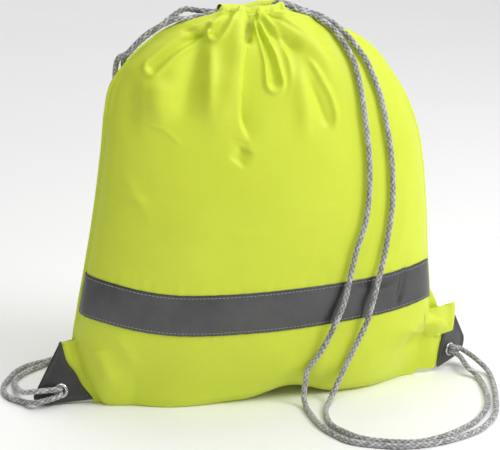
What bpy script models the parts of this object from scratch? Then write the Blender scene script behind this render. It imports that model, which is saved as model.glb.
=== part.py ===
"""Drawstring backpack, standing filled and closed, as separate sewn and fitted pieces.

Metres, +Z up. The front faces -Y, +X is on the right seen from the front. The origin is on the
floor under the middle of the bag. The side seams lie in the plane Y = 0, except at the two
bottom corners, where the flat corner of the bag leans or turns away from that plane.
"""

import math

import bmesh
import bpy
from mathutils import Vector

# Fabric and small clearances
FABRIC = 0.0016  # modelled wall of each panel
GAP = 0.0003  # clearance between pieces that touch
TAPE = 0.0008  # reflective band
LEATHERETTE = 0.0013  # one leaf of a folded corner tab

# Half-widths of the filled body at rising heights: (height, left, right)
BODY_WIDTHS = [
    (0.000, 0.138, 0.140),
    (0.020, 0.150, 0.151),
    (0.050, 0.158, 0.157),
    (0.080, 0.154, 0.156),
    (0.116, 0.147, 0.153),
    (0.165, 0.138, 0.150),
    (0.220, 0.130, 0.143),
    (0.255, 0.126, 0.131),
    (0.278, 0.120, 0.117),
    (0.300, 0.103, 0.100),
    (0.316, 0.083, 0.077),
    (0.326, 0.061, 0.049),
]
# Depth of the filled body in front of and behind the seam plane: (height, front, back)
BODY_DEPTHS = [
    (0.000, 0.030, 0.030),
    (0.010, 0.040, 0.039),
    (0.030, 0.050, 0.049),
    (0.060, 0.0545, 0.0545),
    (0.120, 0.0545, 0.0545),
    (0.180, 0.052, 0.051),
    (0.240, 0.045, 0.044),
    (0.280, 0.038, 0.037),
    (0.305, 0.030, 0.030),
    (0.326, 0.021, 0.021),
]
BODY_HEIGHTS = (0.0, 0.002, 0.004, 0.012, 0.024, 0.040, 0.056, 0.068, 0.085, 0.115, 0.155, 0.20, 0.24,
                0.27, 0.293, 0.310, 0.320, 0.326)
BODY_COLUMNS = 18
EAR_COLUMNS = 3  # further columns of points from the body's edge to the seam
SEAM_LIP = 0.0025  # flat lip outside the body along the side seams
SEAM_RISE = 0.02  # below this height the panel's inner face lifts off the bottom seam
PANEL_SHARP = math.radians(40)  # edges bent more than this are shaded sharp

# The bottom edge arches off the floor between two lobes
ARCH_MIDDLE, ARCH_HALF_WIDTH, ARCH_RISE, ARCH_REACH = 0.025, 0.045, 0.010, 0.060

# Gathered neck: an oval tube round the draw cords, slit at both side seams
NECK_MIDDLE = -0.005
NECK_LOW, NECK_TOP = 0.3305, 0.3425
NECK_HALF_WIDTH, NECK_HALF_DEPTH = 0.031, 0.018
NECK_SLIT = 0.92  # share of the half-width that the panels reach, so a cord fits between them
HEM_HALF_WIDTH, HEM_HALF_DEPTH, HEM_WALL = 0.0234, 0.0103, 0.0012
HEM_END = math.radians(20)  # a hem stops this far short of each side slit
HEM_STEPS = 16

# Flat bottom corners, drawn flat in the seam plane: (height, distance from the middle)
LEFT_EAR = [(0.002, 0.182), (0.005, 0.1940), (0.012, 0.1910), (0.054, 0.1690), (0.068, 0.159)]
RIGHT_EAR = [(0.002, 0.166), (0.004, 0.176), (0.009, 0.190), (0.014, 0.2055), (0.0225, 0.2072),
             (0.0545, 0.1872), (0.068, 0.168), (0.074, 0.1590)]
# Corner tabs, drawn flat in the seam plane: (distance from the middle, height)
LEFT_TAB = [(0.1445, 0.0030), (0.155, 0.016), (0.159, 0.026), (0.167, 0.036), (0.1705, 0.0535),
            (0.1970, 0.0060), (0.189, 0.0012)]
RIGHT_TAB = [(0.1665, 0.0042), (0.170, 0.022), (0.176, 0.036), (0.1885, 0.0550), (0.209, 0.0225),
             (0.207, 0.013), (0.196, 0.0075)]
LEFT_LEAN = 0.012  # how far the left corner's bottom edge stands in front of its top
LEAN_HEIGHT = 0.055
LEAN_START, LEAN_END = 0.112, 0.137  # the lean grows to its full size between these
RIGHT_TURN = math.radians(38)  # the right corner turns back by this much
TURN_START, TURN_RADIUS = 0.158, 0.012

# Eyelets, centres in the same flat drawing
LEFT_EYELET = (-0.173, 0.0125)
RIGHT_EYELET = (0.1845, 0.0175)
EYELET_HOLE, EYELET_BARREL, EYELET_FLANGE = 0.0036, 0.0043, 0.0062
FLANGE = 0.0008
FLANGE_EDGE = 0.001  # width of the sloping edge of an eyelet's flange
TURNED_SIDES = 16
TURNED_SHARP = math.radians(50)
HOLE_REACH = 0.010  # the cutter of an eyelet hole reaches this far from the seam plane
LEAF_NEAR = GAP / 2 + FABRIC + GAP  # distance of a leaf's inner face from the seam plane

# Draw cords
CORD = 0.005
CORD_LEVEL_LEFT, CORD_LEVEL_RIGHT = 0.3335, 0.3392
CHANNEL_HALF_WIDTH, CHANNEL_HALF_DEPTH = 0.0263, 0.0133
KNOT_RADIUS = 0.007
STUB_RADIUS = 0.0033  # the cord's two ends pressed together inside the eyelet
STUB_FRONT = 0.0048
# A knot behind its washer: (radius, distance from the washer)
KNOT_PROFILE = [
    (STUB_RADIUS, 0.0), (0.0056, 0.0006), (KNOT_RADIUS, 0.0035), (KNOT_RADIUS, 0.0075), (0.0052, 0.0108),
    (0.0, 0.0122),
]
CHANNEL_OPEN = 0.32  # angle left open on each side of where a cord leaves the channel
CHANNEL_POINTS = 26
ROUTE_SPACING = 0.0135
CURVE_STEPS = 12

# Reflective band on the front: (place across the bag, height of the band's middle line)
BAND_LINE = [(-0.155, 0.0975), (-0.110, 0.0950), (-0.048, 0.0860), (0.060, 0.0915), (0.125, 0.0955),
             (0.157, 0.0905)]
BAND_WIDTH = 0.0355
BAND_CLEAR = 0.0008  # room for the flat facets under the band
BAND_REACH = 0.155  # the band's line is read out to this distance from the middle
BAND_ROWS = (-0.5, -0.17, 0.17, 0.5)  # places across the band, as shares of its width
BAND_COLUMNS = 26

# Free stretches of the draw cords, from the neck to the corner eyelets
CORD_ROUTES = {
    "left_cord_front": [
        (-0.0332, -0.0030, 0.3335), (-0.0429, -0.0053, 0.3322), (-0.0516, -0.0049, 0.3308),
        (-0.0588, -0.0049, 0.3296), (-0.0682, -0.0050, 0.3295), (-0.0755, -0.0030, 0.3264),
        (-0.0819, -0.0010, 0.3229), (-0.0902, 0.0000, 0.3180), (-0.0960, 0.0010, 0.3133),
        (-0.1022, 0.0020, 0.3070), (-0.1075, 0.0040, 0.3010), (-0.1149, 0.0100, 0.2952),
        (-0.1165, 0.0200, 0.2810), (-0.1150, 0.0310, 0.2620), (-0.1100, 0.0410, 0.2380),
        (-0.1010, 0.0510, 0.2050), (-0.0910, 0.0590, 0.1650), (-0.0820, 0.0640, 0.1200),
        (-0.0750, 0.0670, 0.0750), (-0.0700, 0.0705, 0.0350), (-0.0690, 0.0800, 0.0095),
        (-0.0740, 0.0990, 0.0027), (-0.0890, 0.1210, 0.0026), (-0.1120, 0.1320, 0.0026),
        (-0.1370, 0.1270, 0.0026), (-0.1560, 0.1110, 0.0026), (-0.1680, 0.0965, 0.0026),
        (-0.1797, 0.0886, 0.0026), (-0.1930, 0.0819, 0.0026), (-0.2056, 0.0688, 0.0026),
        (-0.2141, 0.0500, 0.0026), (-0.2194, 0.0336, 0.0026), (-0.2198, 0.0174, 0.0026),
        (-0.2145, 0.0027, 0.0026), (-0.2045, -0.0087, 0.0030), (-0.1960, -0.0206, 0.0062),
        (-0.1845, -0.0208, 0.0080), (-0.1745, -0.0177, 0.0098),
    ],
    "left_cord_back": [
        (-0.0332, 0.0030, 0.3335), (-0.0430, 0.0040, 0.3341), (-0.0503, 0.0080, 0.3347),
        (-0.0579, 0.0110, 0.3353), (-0.0646, 0.0115, 0.3319), (-0.0715, 0.0105, 0.3273),
        (-0.0786, 0.0085, 0.3225), (-0.0867, 0.0078, 0.3173), (-0.0930, 0.0083, 0.3128),
        (-0.0997, 0.0095, 0.3065), (-0.1049, 0.0115, 0.3004), (-0.1096, 0.0145, 0.2933),
        (-0.1085, 0.0230, 0.2790), (-0.1065, 0.0315, 0.2620), (-0.1050, 0.0345, 0.2400),
        (-0.1060, 0.0380, 0.2050), (-0.1075, 0.0425, 0.1650), (-0.1090, 0.0460, 0.1200),
        (-0.1100, 0.0490, 0.0750), (-0.1100, 0.0535, 0.0350), (-0.1125, 0.0620, 0.0105),
        (-0.1210, 0.0715, 0.0032), (-0.1340, 0.0785, 0.0026), (-0.1500, 0.0830, 0.0026),
        (-0.1650, 0.0850, 0.0026), (-0.1765, 0.0840, 0.0026), (-0.1842, 0.0776, 0.0026),
        (-0.1944, 0.0687, 0.0026), (-0.2031, 0.0580, 0.0026), (-0.2092, 0.0448, 0.0028),
        (-0.2093, 0.0230, 0.0050), (-0.2057, -0.0040, 0.0105), (-0.2020, -0.0149, 0.0140),
        (-0.1930, -0.0184, 0.0155), (-0.1835, -0.0178, 0.0156), (-0.1745, -0.0165, 0.0152),
    ],
    "right_cord_front": [
        (0.0232, -0.0030, 0.3392), (0.0285, -0.0036, 0.3376), (0.0340, -0.0060, 0.3346),
        (0.0439, -0.0041, 0.3302), (0.0536, -0.0104, 0.3263), (0.0609, -0.0158, 0.3211),
        (0.0682, -0.0217, 0.3121), (0.0765, -0.0271, 0.2968), (0.0805, -0.0307, 0.2838),
        (0.0835, -0.0354, 0.2660), (0.0861, -0.0403, 0.2422), (0.0885, -0.0429, 0.2204),
        (0.0890, -0.0456, 0.1994), (0.0880, -0.0477, 0.1782), (0.0842, -0.0504, 0.1573),
        (0.0769, -0.0532, 0.1366), (0.0704, -0.0566, 0.1132), (0.0655, -0.0597, 0.0940),
        (0.0568, -0.0610, 0.0736), (0.0465, -0.0576, 0.0505), (0.0355, -0.0530, 0.0314),
        (0.0330, -0.0537, 0.0192), (0.0314, -0.0568, 0.0087), (0.0312, -0.0660, 0.0034),
        (0.0321, -0.0882, 0.0026), (0.0348, -0.1097, 0.0026), (0.0419, -0.1295, 0.0026),
        (0.0502, -0.1438, 0.0026), (0.0615, -0.1518, 0.0026), (0.0764, -0.1585, 0.0026),
        (0.0912, -0.1626, 0.0026), (0.1177, -0.1611, 0.0026), (0.1486, -0.1492, 0.0026),
        (0.1680, -0.1345, 0.0026), (0.1847, -0.1111, 0.0026), (0.1946, -0.0853, 0.0026),
        (0.2045, -0.0512, 0.0026), (0.2105, -0.0181, 0.0034), (0.2047, -0.0065, 0.0101),
        (0.1956, 0.0135, 0.0150), (0.1858, 0.0086, 0.0198),
    ],
    "right_cord_back": [
        (0.0232, 0.0030, 0.3392), (0.0290, 0.0036, 0.3378), (0.0375, 0.0035, 0.3342),
        (0.0461, 0.0020, 0.3312), (0.0555, -0.0022, 0.3280), (0.0641, -0.0090, 0.3232),
        (0.0719, -0.0151, 0.3163), (0.0780, -0.0189, 0.3097), (0.0847, -0.0216, 0.3006),
        (0.0904, -0.0237, 0.2923), (0.0959, -0.0268, 0.2786), (0.1006, -0.0296, 0.2650),
        (0.1048, -0.0334, 0.2450), (0.1093, -0.0365, 0.2179), (0.1109, -0.0392, 0.1924),
        (0.1100, -0.0415, 0.1666), (0.1044, -0.0454, 0.1344), (0.0981, -0.0510, 0.1133),
        (0.0924, -0.0542, 0.0928), (0.0863, -0.0540, 0.0710), (0.0784, -0.0529, 0.0530),
        (0.0664, -0.0503, 0.0253), (0.0602, -0.0520, 0.0128), (0.0538, -0.0590, 0.0050),
        (0.0465, -0.0751, 0.0026), (0.0431, -0.0959, 0.0026), (0.0438, -0.1095, 0.0026),
        (0.0481, -0.1199, 0.0026), (0.0579, -0.1364, 0.0026), (0.0711, -0.1470, 0.0026),
        (0.0934, -0.1549, 0.0026), (0.1093, -0.1553, 0.0026), (0.1329, -0.1461, 0.0026),
        (0.1591, -0.1275, 0.0026), (0.1751, -0.1081, 0.0026), (0.1876, -0.0839, 0.0026),
        (0.1955, -0.0519, 0.0026), (0.1980, -0.0235, 0.0030), (0.1917, -0.0135, 0.0083),
        (0.1925, 0.0110, 0.0095), (0.1852, 0.0081, 0.0146),
    ],
}

COLOURS = {
    "hi_vis_fabric": ((0.72, 0.89, 0.06), 0.6, 0.0),
    "reflective_tape": ((0.11, 0.11, 0.11), 0.45, 0.0),
    "corner_leatherette": ((0.06, 0.06, 0.06), 0.5, 0.0),
    "eyelet_metal": ((0.75, 0.75, 0.76), 0.25, 1.0),
    "cord_braid": ((0.42, 0.42, 0.42), 0.8, 0.0),
}


def material(name):
    """The named plain material, made once."""
    if name in bpy.data.materials:
        return bpy.data.materials[name]
    made = bpy.data.materials.new(name)
    made.use_nodes = True
    colour, roughness, metallic = COLOURS[name]
    shader = made.node_tree.nodes["Principled BSDF"]
    shader.inputs["Base Color"].default_value = (*colour, 1)
    shader.inputs["Roughness"].default_value = roughness
    shader.inputs["Metallic"].default_value = metallic
    return made


def add_object(name, data, finish):
    made = bpy.data.objects.new(name, data)
    data.materials.append(material(finish))
    bpy.context.scene.collection.objects.link(made)
    return made


def smooth_value(table, at, column):
    """Reads one column of a table at a height, along a smooth curve through its rows."""
    keys = [row[0] for row in table]
    at = min(max(at, keys[0]), keys[-1])
    low = max(i for i in range(len(keys) - 1) if keys[i] <= at)
    rows = [table[min(max(low + step, 0), len(table) - 1)] for step in (-1, 0, 1, 2)]
    span = rows[2][0] - rows[1][0]
    slopes = [
        (rows[i + 1][column] - rows[i - 1][column]) / (rows[i + 1][0] - rows[i - 1][0])
        for i in (1, 2)
    ]
    t = (at - rows[1][0]) / span
    return (
        (2 * t**3 - 3 * t**2 + 1) * rows[1][column]
        + (t**3 - 2 * t**2 + t) * span * slopes[0]
        + (3 * t**2 - 2 * t**3) * rows[2][column]
        + (t**3 - t**2) * span * slopes[1]
    )


def straight_value(table, at):
    """Reads the second column of a table at a height, along straight lines between its rows."""
    for (low, first), (high, second) in zip(table, table[1:]):
        if low <= at <= high:
            return first + (second - first) * (at - low) / (high - low)
    return 0.0


def in_place(x, y, z):
    """Takes a point of the flat drawing to its place: the left corner leans, the right one turns."""
    if x < -LEAN_START and z < LEAN_HEIGHT:
        outward = min(1, (-x - LEAN_START) / (LEAN_END - LEAN_START))
        y -= LEFT_LEAN * (1 - z / LEAN_HEIGHT) * outward
    beyond = x - TURN_START
    if beyond <= 0:
        return Vector((x, y, z))
    arc = TURN_RADIUS * RIGHT_TURN
    angle = min(beyond, arc) / TURN_RADIUS
    run = max(0, beyond - arc)
    return Vector((
        TURN_START + (TURN_RADIUS - y) * math.sin(angle) + run * math.cos(angle),
        TURN_RADIUS - (TURN_RADIUS - y) * math.cos(angle) + run * math.sin(angle),
        z,
    ))


def arch(x, z):
    """How far the bottom is lifted at this point."""
    across = abs(x - ARCH_MIDDLE) / ARCH_HALF_WIDTH
    if across >= 1 or z >= ARCH_REACH:
        return 0.0
    return ARCH_RISE * math.cos(across * math.pi / 2) ** 2 * (1 - z / ARCH_REACH)


def body_section(z, side):
    """Left and right half-widths, and the depth on one side, at a height below the neck."""
    return (
        smooth_value(BODY_WIDTHS, z, 1),
        smooth_value(BODY_WIDTHS, z, 2),
        smooth_value(BODY_DEPTHS, z, 1 if side < 0 else 2),
    )


def bulge(x, left, right, depth):
    """Distance of the fabric from the seam plane at x."""
    middle, half = (right - left) / 2, (right + left) / 2
    across = (x - middle) / half
    return depth * math.sqrt(max(0.0, 1 - across * across))


def columns(left_end, left, right, right_end):
    """Positions across a row: over the body closer at its edges, and over both ears evenly, but
    with one place on the right where the turn of the corner ends."""
    middle, half = (right - left) / 2, (right + left) / 2
    shares = [i / EAR_COLUMNS for i in range(1, EAR_COLUMNS + 1)]
    right_ear = [right + (right_end - right) * share for share in shares]
    turn_end = TURN_START + TURN_RADIUS * RIGHT_TURN
    if right_end > turn_end + SEAM_LIP:
        right_ear = [(right + turn_end) / 2, turn_end, right_end]
    return (
        [-left + (left_end + left) * share for share in reversed(shares)]
        + [middle - half * math.cos(math.pi * i / BODY_COLUMNS) for i in range(BODY_COLUMNS + 1)]
        + right_ear
    )


def panel_rows(side, inset):
    """Rows of points of one face of a panel. The inner face is the outer one set in by inset."""
    rows = []
    lip = GAP / 2 + (0 if inset else FABRIC)
    for number, z in enumerate((0.0, *BODY_HEIGHTS)):
        left, right, depth = body_section(z, side)
        left_end = -max(left + SEAM_LIP, straight_value(LEFT_EAR, z))
        right_end = max(right + SEAM_LIP, straight_value(RIGHT_EAR, z))
        raised = z + inset * max(0.0, 1 - z / SEAM_RISE)
        row = []
        for x in columns(left_end, left - inset, right - inset, right_end):
            out = lip
            if number:
                out += bulge(x, left - inset, right - inset, depth)
            elif not inset:
                out = GAP / 2
            row.append(in_place(x, side * out, raised + arch(x, z)))
        rows.append(row)
    last = len(rows[0]) - 1
    for z in (NECK_LOW, NECK_TOP):
        row = []
        for i in range(last + 1):
            across = -NECK_SLIT * math.cos(math.pi * i / last)
            x = NECK_MIDDLE + (NECK_HALF_WIDTH - inset) * across
            out = (NECK_HALF_DEPTH - inset) * math.sqrt(1 - across * across)
            row.append(Vector((x, side * out, z)))
        rows.append(row)
    return rows


def shell(name, outer, inner, finish):
    """A closed solid between two equal grids of points."""
    mesh = bmesh.new()
    grids = [[[mesh.verts.new(point) for point in row] for row in grid] for grid in (outer, inner)]
    last_row, last = len(outer) - 1, len(outer[0]) - 1
    for grid in grids:
        for row, above in zip(grid, grid[1:]):
            for i in range(last):
                mesh.faces.new((row[i], row[i + 1], above[i + 1], above[i]))
    for row in (0, last_row):
        for i in range(last):
            ends = (grids[0][row][i], grids[0][row][i + 1], grids[1][row][i + 1], grids[1][row][i])
            mesh.faces.new(ends)
    for column in (0, last):
        for i in range(last_row):
            low, high = grids[0][i][column], grids[0][i + 1][column]
            mesh.faces.new((low, high, grids[1][i + 1][column], grids[1][i][column]))
    bmesh.ops.triangulate(mesh, faces=mesh.faces)
    bmesh.ops.recalc_face_normals(mesh, faces=mesh.faces)
    data = bpy.data.meshes.new(name)
    mesh.to_mesh(data)
    mesh.free()
    data.shade_smooth()
    data.set_sharp_from_angle(angle=PANEL_SHARP)
    return add_object(name, data, finish)


def build_panel(name, side):
    return shell(name, panel_rows(side, 0.0), panel_rows(side, FABRIC), "hi_vis_fabric")


def build_hem(name, side):
    """The inner wall of the cord channel, which is the panel's top edge turned in."""
    grids = []
    for inset in (0.0, HEM_WALL):
        rows = []
        for z in (NECK_LOW + GAP, NECK_TOP - GAP):
            row = []
            for i in range(HEM_STEPS + 1):
                angle = HEM_END + (math.pi - 2 * HEM_END) * i / HEM_STEPS
                x = NECK_MIDDLE - (HEM_HALF_WIDTH - inset) * math.cos(angle)
                row.append(Vector((x, side * (HEM_HALF_DEPTH - inset) * math.sin(angle), z)))
            rows.append(row)
        grids.append(rows)
    shell(name, *grids, "hi_vis_fabric")


def build_band():
    """The band follows the front panel from seam to seam, and dips towards the middle."""
    grids = []
    for lift in (BAND_CLEAR + TAPE, BAND_CLEAR):
        rows = []
        for across in BAND_ROWS:
            row = []
            for i in range(BAND_COLUMNS + 1):
                t = -math.cos(math.pi * (i + 0.5) / (BAND_COLUMNS + 1))
                z = smooth_value(BAND_LINE, t * BAND_REACH, 1) + across * BAND_WIDTH
                left, right, depth = (value + lift for value in body_section(z, -1))
                x = (right - left) / 2 + (right + left) / 2 * t
                out = GAP / 2 + FABRIC + bulge(x, left, right, depth)
                row.append(in_place(x, -out, z))
            rows.append(row)
        grids.append(rows)
    shell("reflective_band", *grids, "reflective_tape")


def placed_mesh(name, mesh):
    """Takes a bmesh of the flat drawing to its place and returns it as mesh data."""
    for vert in mesh.verts:
        vert.co = in_place(*vert.co)
    bmesh.ops.recalc_face_normals(mesh, faces=mesh.faces)
    data = bpy.data.meshes.new(name)
    mesh.to_mesh(data)
    mesh.free()
    return data


def turned(name, profile, centre, is_ring):
    """A turned solid in the flat drawing, about a line along Y: its profile is (radius, Y)."""
    mesh = bmesh.new()
    circles = []
    for radius, y in profile:
        if radius == 0:
            circles.append([mesh.verts.new((centre[0], y, centre[1]))])
            continue
        circles.append([])
        for i in range(TURNED_SIDES):
            angle = 2 * math.pi * i / TURNED_SIDES
            point = (centre[0] + radius * math.cos(angle), y, centre[1] + radius * math.sin(angle))
            circles[-1].append(mesh.verts.new(point))
    pairs = list(zip(circles, circles[1:]))
    if is_ring:
        pairs.append((circles[-1], circles[0]))
    for first, second in pairs:
        for i in range(TURNED_SIDES):
            corners = [first[i % len(first)], first[(i + 1) % len(first)],
                       second[(i + 1) % len(second)], second[i % len(second)]]
            mesh.faces.new(list(dict.fromkeys(corners)))
    data = placed_mesh(name, mesh)
    data.shade_smooth()
    data.set_sharp_from_angle(angle=TURNED_SHARP)
    return data


def build_hole(name, centre):
    """The cutter for an eyelet hole through a whole corner."""
    radius = EYELET_BARREL + GAP
    profile = [(0, -HOLE_REACH), (radius, -HOLE_REACH), (radius, HOLE_REACH), (0, HOLE_REACH)]
    data = turned(name, profile, centre, False)
    cutter = bpy.data.objects.new(name, data)
    bpy.context.scene.collection.objects.link(cutter)
    cutter.hide_render = True
    cutter.display_type = "WIRE"
    return cutter


def cut(piece, cutter):
    hole = piece.modifiers.new(cutter.name, "BOOLEAN")
    hole.operation = "DIFFERENCE"
    hole.object = cutter


def build_leaf(name, outline, sign, side):
    """One leaf of a corner tab, on the front or the back of the bag's flat corner."""
    mesh = bmesh.new()
    rings = [
        [mesh.verts.new((sign * x, side * y, z)) for x, z in outline]
        for y in (LEAF_NEAR, LEAF_NEAR + LEATHERETTE)
    ]
    for ring in rings:
        mesh.faces.new(ring)
    for i in range(len(outline)):
        after = (i + 1) % len(outline)
        mesh.faces.new((rings[0][i], rings[0][after], rings[1][after], rings[1][i]))
    return add_object(name, placed_mesh(name, mesh), "corner_leatherette")


def build_corner(where, outline, sign, eyelet, panels):
    """A corner's two leaves, its eyelet and washer, and the knot that stops the cord's ends."""
    hole = build_hole(where + "_eyelet_hole", eyelet)
    leaves = [
        build_leaf(where + "_tab_front", outline, sign, -1),
        build_leaf(where + "_tab_back", outline, sign, 1),
    ]
    for piece in (*leaves, *panels):
        cut(piece, hole)
    face = LEAF_NEAR + LEATHERETTE
    flange = [
        (EYELET_HOLE, -face - GAP - FLANGE), (EYELET_FLANGE - FLANGE_EDGE, -face - GAP - FLANGE),
        (EYELET_FLANGE, -face - GAP - FLANGE / 2), (EYELET_FLANGE, -face - GAP),
        (EYELET_BARREL, -face - GAP), (EYELET_BARREL, face), (EYELET_HOLE, face),
    ]
    add_object(where + "_eyelet", turned(where + "_eyelet", flange, eyelet, True), "eyelet_metal")
    washer = [
        (EYELET_HOLE + GAP, face + GAP), (EYELET_FLANGE, face + GAP),
        (EYELET_FLANGE, face + GAP + FLANGE / 2), (EYELET_FLANGE - FLANGE_EDGE, face + GAP + FLANGE),
        (EYELET_HOLE + GAP, face + GAP + FLANGE),
    ]
    name = where + "_eyelet_washer"
    add_object(name, turned(name, washer, eyelet, True), "eyelet_metal")
    near = face + GAP + FLANGE + GAP
    knot = [(0, -STUB_FRONT), (STUB_RADIUS, -STUB_FRONT)]
    knot += [(radius, near + behind) for radius, behind in KNOT_PROFILE]
    name = where + "_cord_knot"
    add_object(name, turned(name, knot, eyelet, False), "cord_braid")


def smooth_route(points, spacing):
    """Points at an even spacing along a smooth curve through a route's points."""
    points = [Vector(point) for point in points]
    ends = [2 * points[0] - points[1], *points, 2 * points[-1] - points[-2]]
    dense = []
    for before, start, end, after in zip(ends, ends[1:], ends[2:], ends[3:]):
        for i in range(CURVE_STEPS):
            t = i / CURVE_STEPS
            dense.append(0.5 * (
                2 * start + (end - before) * t + (2 * before - 5 * start + 4 * end - after) * t**2
                + (3 * start - before - 3 * end + after) * t**3
            ))
    dense.append(points[-1])
    for point in dense:
        point.z = max(point.z, CORD / 2)
    length = sum((b - a).length for a, b in zip(dense, dense[1:]))
    count = max(2, round(length / spacing))
    even, travelled, at = [dense[0]], 0.0, 1
    for a, b in zip(dense, dense[1:]):
        step = (b - a).length
        while at < count and travelled + step >= at * length / count:
            even.append(a.lerp(b, (at * length / count - travelled) / step))
            at += 1
        travelled += step
    return [*even[:count], dense[-1]]


def build_cord(name, points):
    """A plain tube along the points."""
    curve = bpy.data.curves.new(name, "CURVE")
    curve.dimensions = "3D"
    spline = curve.splines.new("POLY")
    spline.points.add(len(points) - 1)
    for target, point in zip(spline.points, points):
        target.co = (*point, 1)
    curve.bevel_depth = CORD / 2
    curve.bevel_resolution = 2
    curve.use_fill_caps = True
    add_object(name, curve, "cord_braid")


def build_channel_cord(name, opening, level):
    """The stretch of a draw cord inside the neck, all round it but for where it comes out."""
    points = []
    for i in range(CHANNEL_POINTS + 1):
        angle = opening + CHANNEL_OPEN + (2 * math.pi - 2 * CHANNEL_OPEN) * i / CHANNEL_POINTS
        points.append(Vector((
            NECK_MIDDLE + CHANNEL_HALF_WIDTH * math.cos(angle),
            CHANNEL_HALF_DEPTH * math.sin(angle),
            level,
        )))
    build_cord(name, points)


def main():
    for old in list(bpy.data.objects):
        bpy.data.objects.remove(old, do_unlink=True)
    panels = [build_panel("front_panel", -1), build_panel("back_panel", 1)]
    build_hem("front_neck_hem", -1)
    build_hem("back_neck_hem", 1)
    build_band()
    build_corner("left", LEFT_TAB, -1, LEFT_EYELET, panels)
    build_corner("right", RIGHT_TAB, 1, RIGHT_EYELET, panels)
    build_channel_cord("left_channel_cord", math.pi, CORD_LEVEL_LEFT)
    build_channel_cord("right_channel_cord", 0.0, CORD_LEVEL_RIGHT)
    for name, points in CORD_ROUTES.items():
        build_cord(name, smooth_route(points, ROUTE_SPACING))


main()
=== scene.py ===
"""Looks of the drawstring backpack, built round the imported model, which is the fixed frame.

Metres, +Z up. The front faces -Y and +X is on the right seen from the front. Cloth is worked out as grids
of points: rows run up a panel from the bottom seam, columns run across it from seam to seam.
"""

import functools
import math

import bpy
import numpy as np
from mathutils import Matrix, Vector, kdtree
from mathutils.geometry import delaunay_2d_cdt


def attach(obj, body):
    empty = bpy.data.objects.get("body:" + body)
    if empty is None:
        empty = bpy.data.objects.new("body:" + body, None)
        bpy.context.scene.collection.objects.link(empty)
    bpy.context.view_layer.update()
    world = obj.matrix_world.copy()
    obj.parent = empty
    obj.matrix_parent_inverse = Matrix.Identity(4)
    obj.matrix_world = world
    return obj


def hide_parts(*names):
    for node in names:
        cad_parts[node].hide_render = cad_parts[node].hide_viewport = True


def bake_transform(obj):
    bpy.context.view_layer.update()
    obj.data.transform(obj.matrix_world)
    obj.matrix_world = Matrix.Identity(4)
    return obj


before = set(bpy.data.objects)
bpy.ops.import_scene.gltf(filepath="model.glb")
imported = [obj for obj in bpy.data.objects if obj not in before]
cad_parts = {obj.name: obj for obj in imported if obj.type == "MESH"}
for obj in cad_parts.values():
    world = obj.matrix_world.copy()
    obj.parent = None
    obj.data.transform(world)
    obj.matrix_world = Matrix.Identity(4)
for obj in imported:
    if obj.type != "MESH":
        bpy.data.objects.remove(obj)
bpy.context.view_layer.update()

MM = 0.001
SIDES = (("front", -1), ("back", 1))

# ---- Sizes that the model's source also holds -------------------------------------------------

# Half-widths of the filled body at rising heights: (height, left, right)
BODY_WIDTHS = np.array([
    (0.000, 0.138, 0.140), (0.020, 0.150, 0.151), (0.050, 0.158, 0.157), (0.080, 0.154, 0.156),
    (0.116, 0.147, 0.153), (0.165, 0.138, 0.150), (0.220, 0.130, 0.143), (0.255, 0.126, 0.131),
    (0.278, 0.120, 0.117), (0.300, 0.103, 0.100), (0.316, 0.083, 0.077), (0.326, 0.061, 0.049),
])
# Depth of the filled body in front of and behind the seam plane: (height, front, back)
BODY_DEPTHS = np.array([
    (0.000, 0.030, 0.030), (0.010, 0.040, 0.039), (0.030, 0.050, 0.049), (0.060, 0.0545, 0.0545),
    (0.120, 0.0545, 0.0545), (0.180, 0.052, 0.051), (0.240, 0.045, 0.044), (0.280, 0.038, 0.037),
    (0.305, 0.030, 0.030), (0.326, 0.021, 0.021),
])
ARCH_MIDDLE, ARCH_HALF_WIDTH, ARCH_RISE, ARCH_REACH = 0.025, 0.045, 0.010, 0.060
NECK_MIDDLE = -0.005
# Corner tabs, drawn flat in the seam plane: (distance from the middle, height)
TABS = {
    "left": [(0.1445, 0.0030), (0.155, 0.016), (0.159, 0.026), (0.167, 0.036), (0.1705, 0.0535),
             (0.1970, 0.0060), (0.189, 0.0012)],
    "right": [(0.1665, 0.0042), (0.170, 0.022), (0.176, 0.036), (0.1885, 0.0550), (0.209, 0.0225),
              (0.207, 0.013), (0.196, 0.0075)],
}
LEFT_LEAN, LEAN_HEIGHT = 0.012, 0.055
LEAN_START, LEAN_END = 0.112, 0.137
RIGHT_TURN = math.radians(38)
TURN_START, TURN_RADIUS = 0.158, 0.012
EYELETS = {"left": (-0.173, 0.0125), "right": (0.1845, 0.0175)}
EYELET_HOLE, EYELET_BARREL, EYELET_FLANGE = 0.0036, 0.0043, 0.0062
FLANGE = 0.0008
GAP = 0.0003
LEAF_NEAR = 0.00205  # from the seam plane to the inner face of a tab's leaf
LEATHERETTE = 0.0013
CORD = 0.005
CHANNEL_HALF_WIDTH, CHANNEL_OPEN = 0.0263, 0.32
CORD_LEVELS = {"left": 0.3335, "right": 0.3392}
CURVE_STEPS = 12
BAND_LINE = np.array([
    (-0.155, 0.0975), (-0.110, 0.0950), (-0.048, 0.0860), (0.060, 0.0915), (0.125, 0.0955),
    (0.157, 0.0905),
])
BAND_WIDTH, BAND_REACH = 0.0355, 0.155

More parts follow.
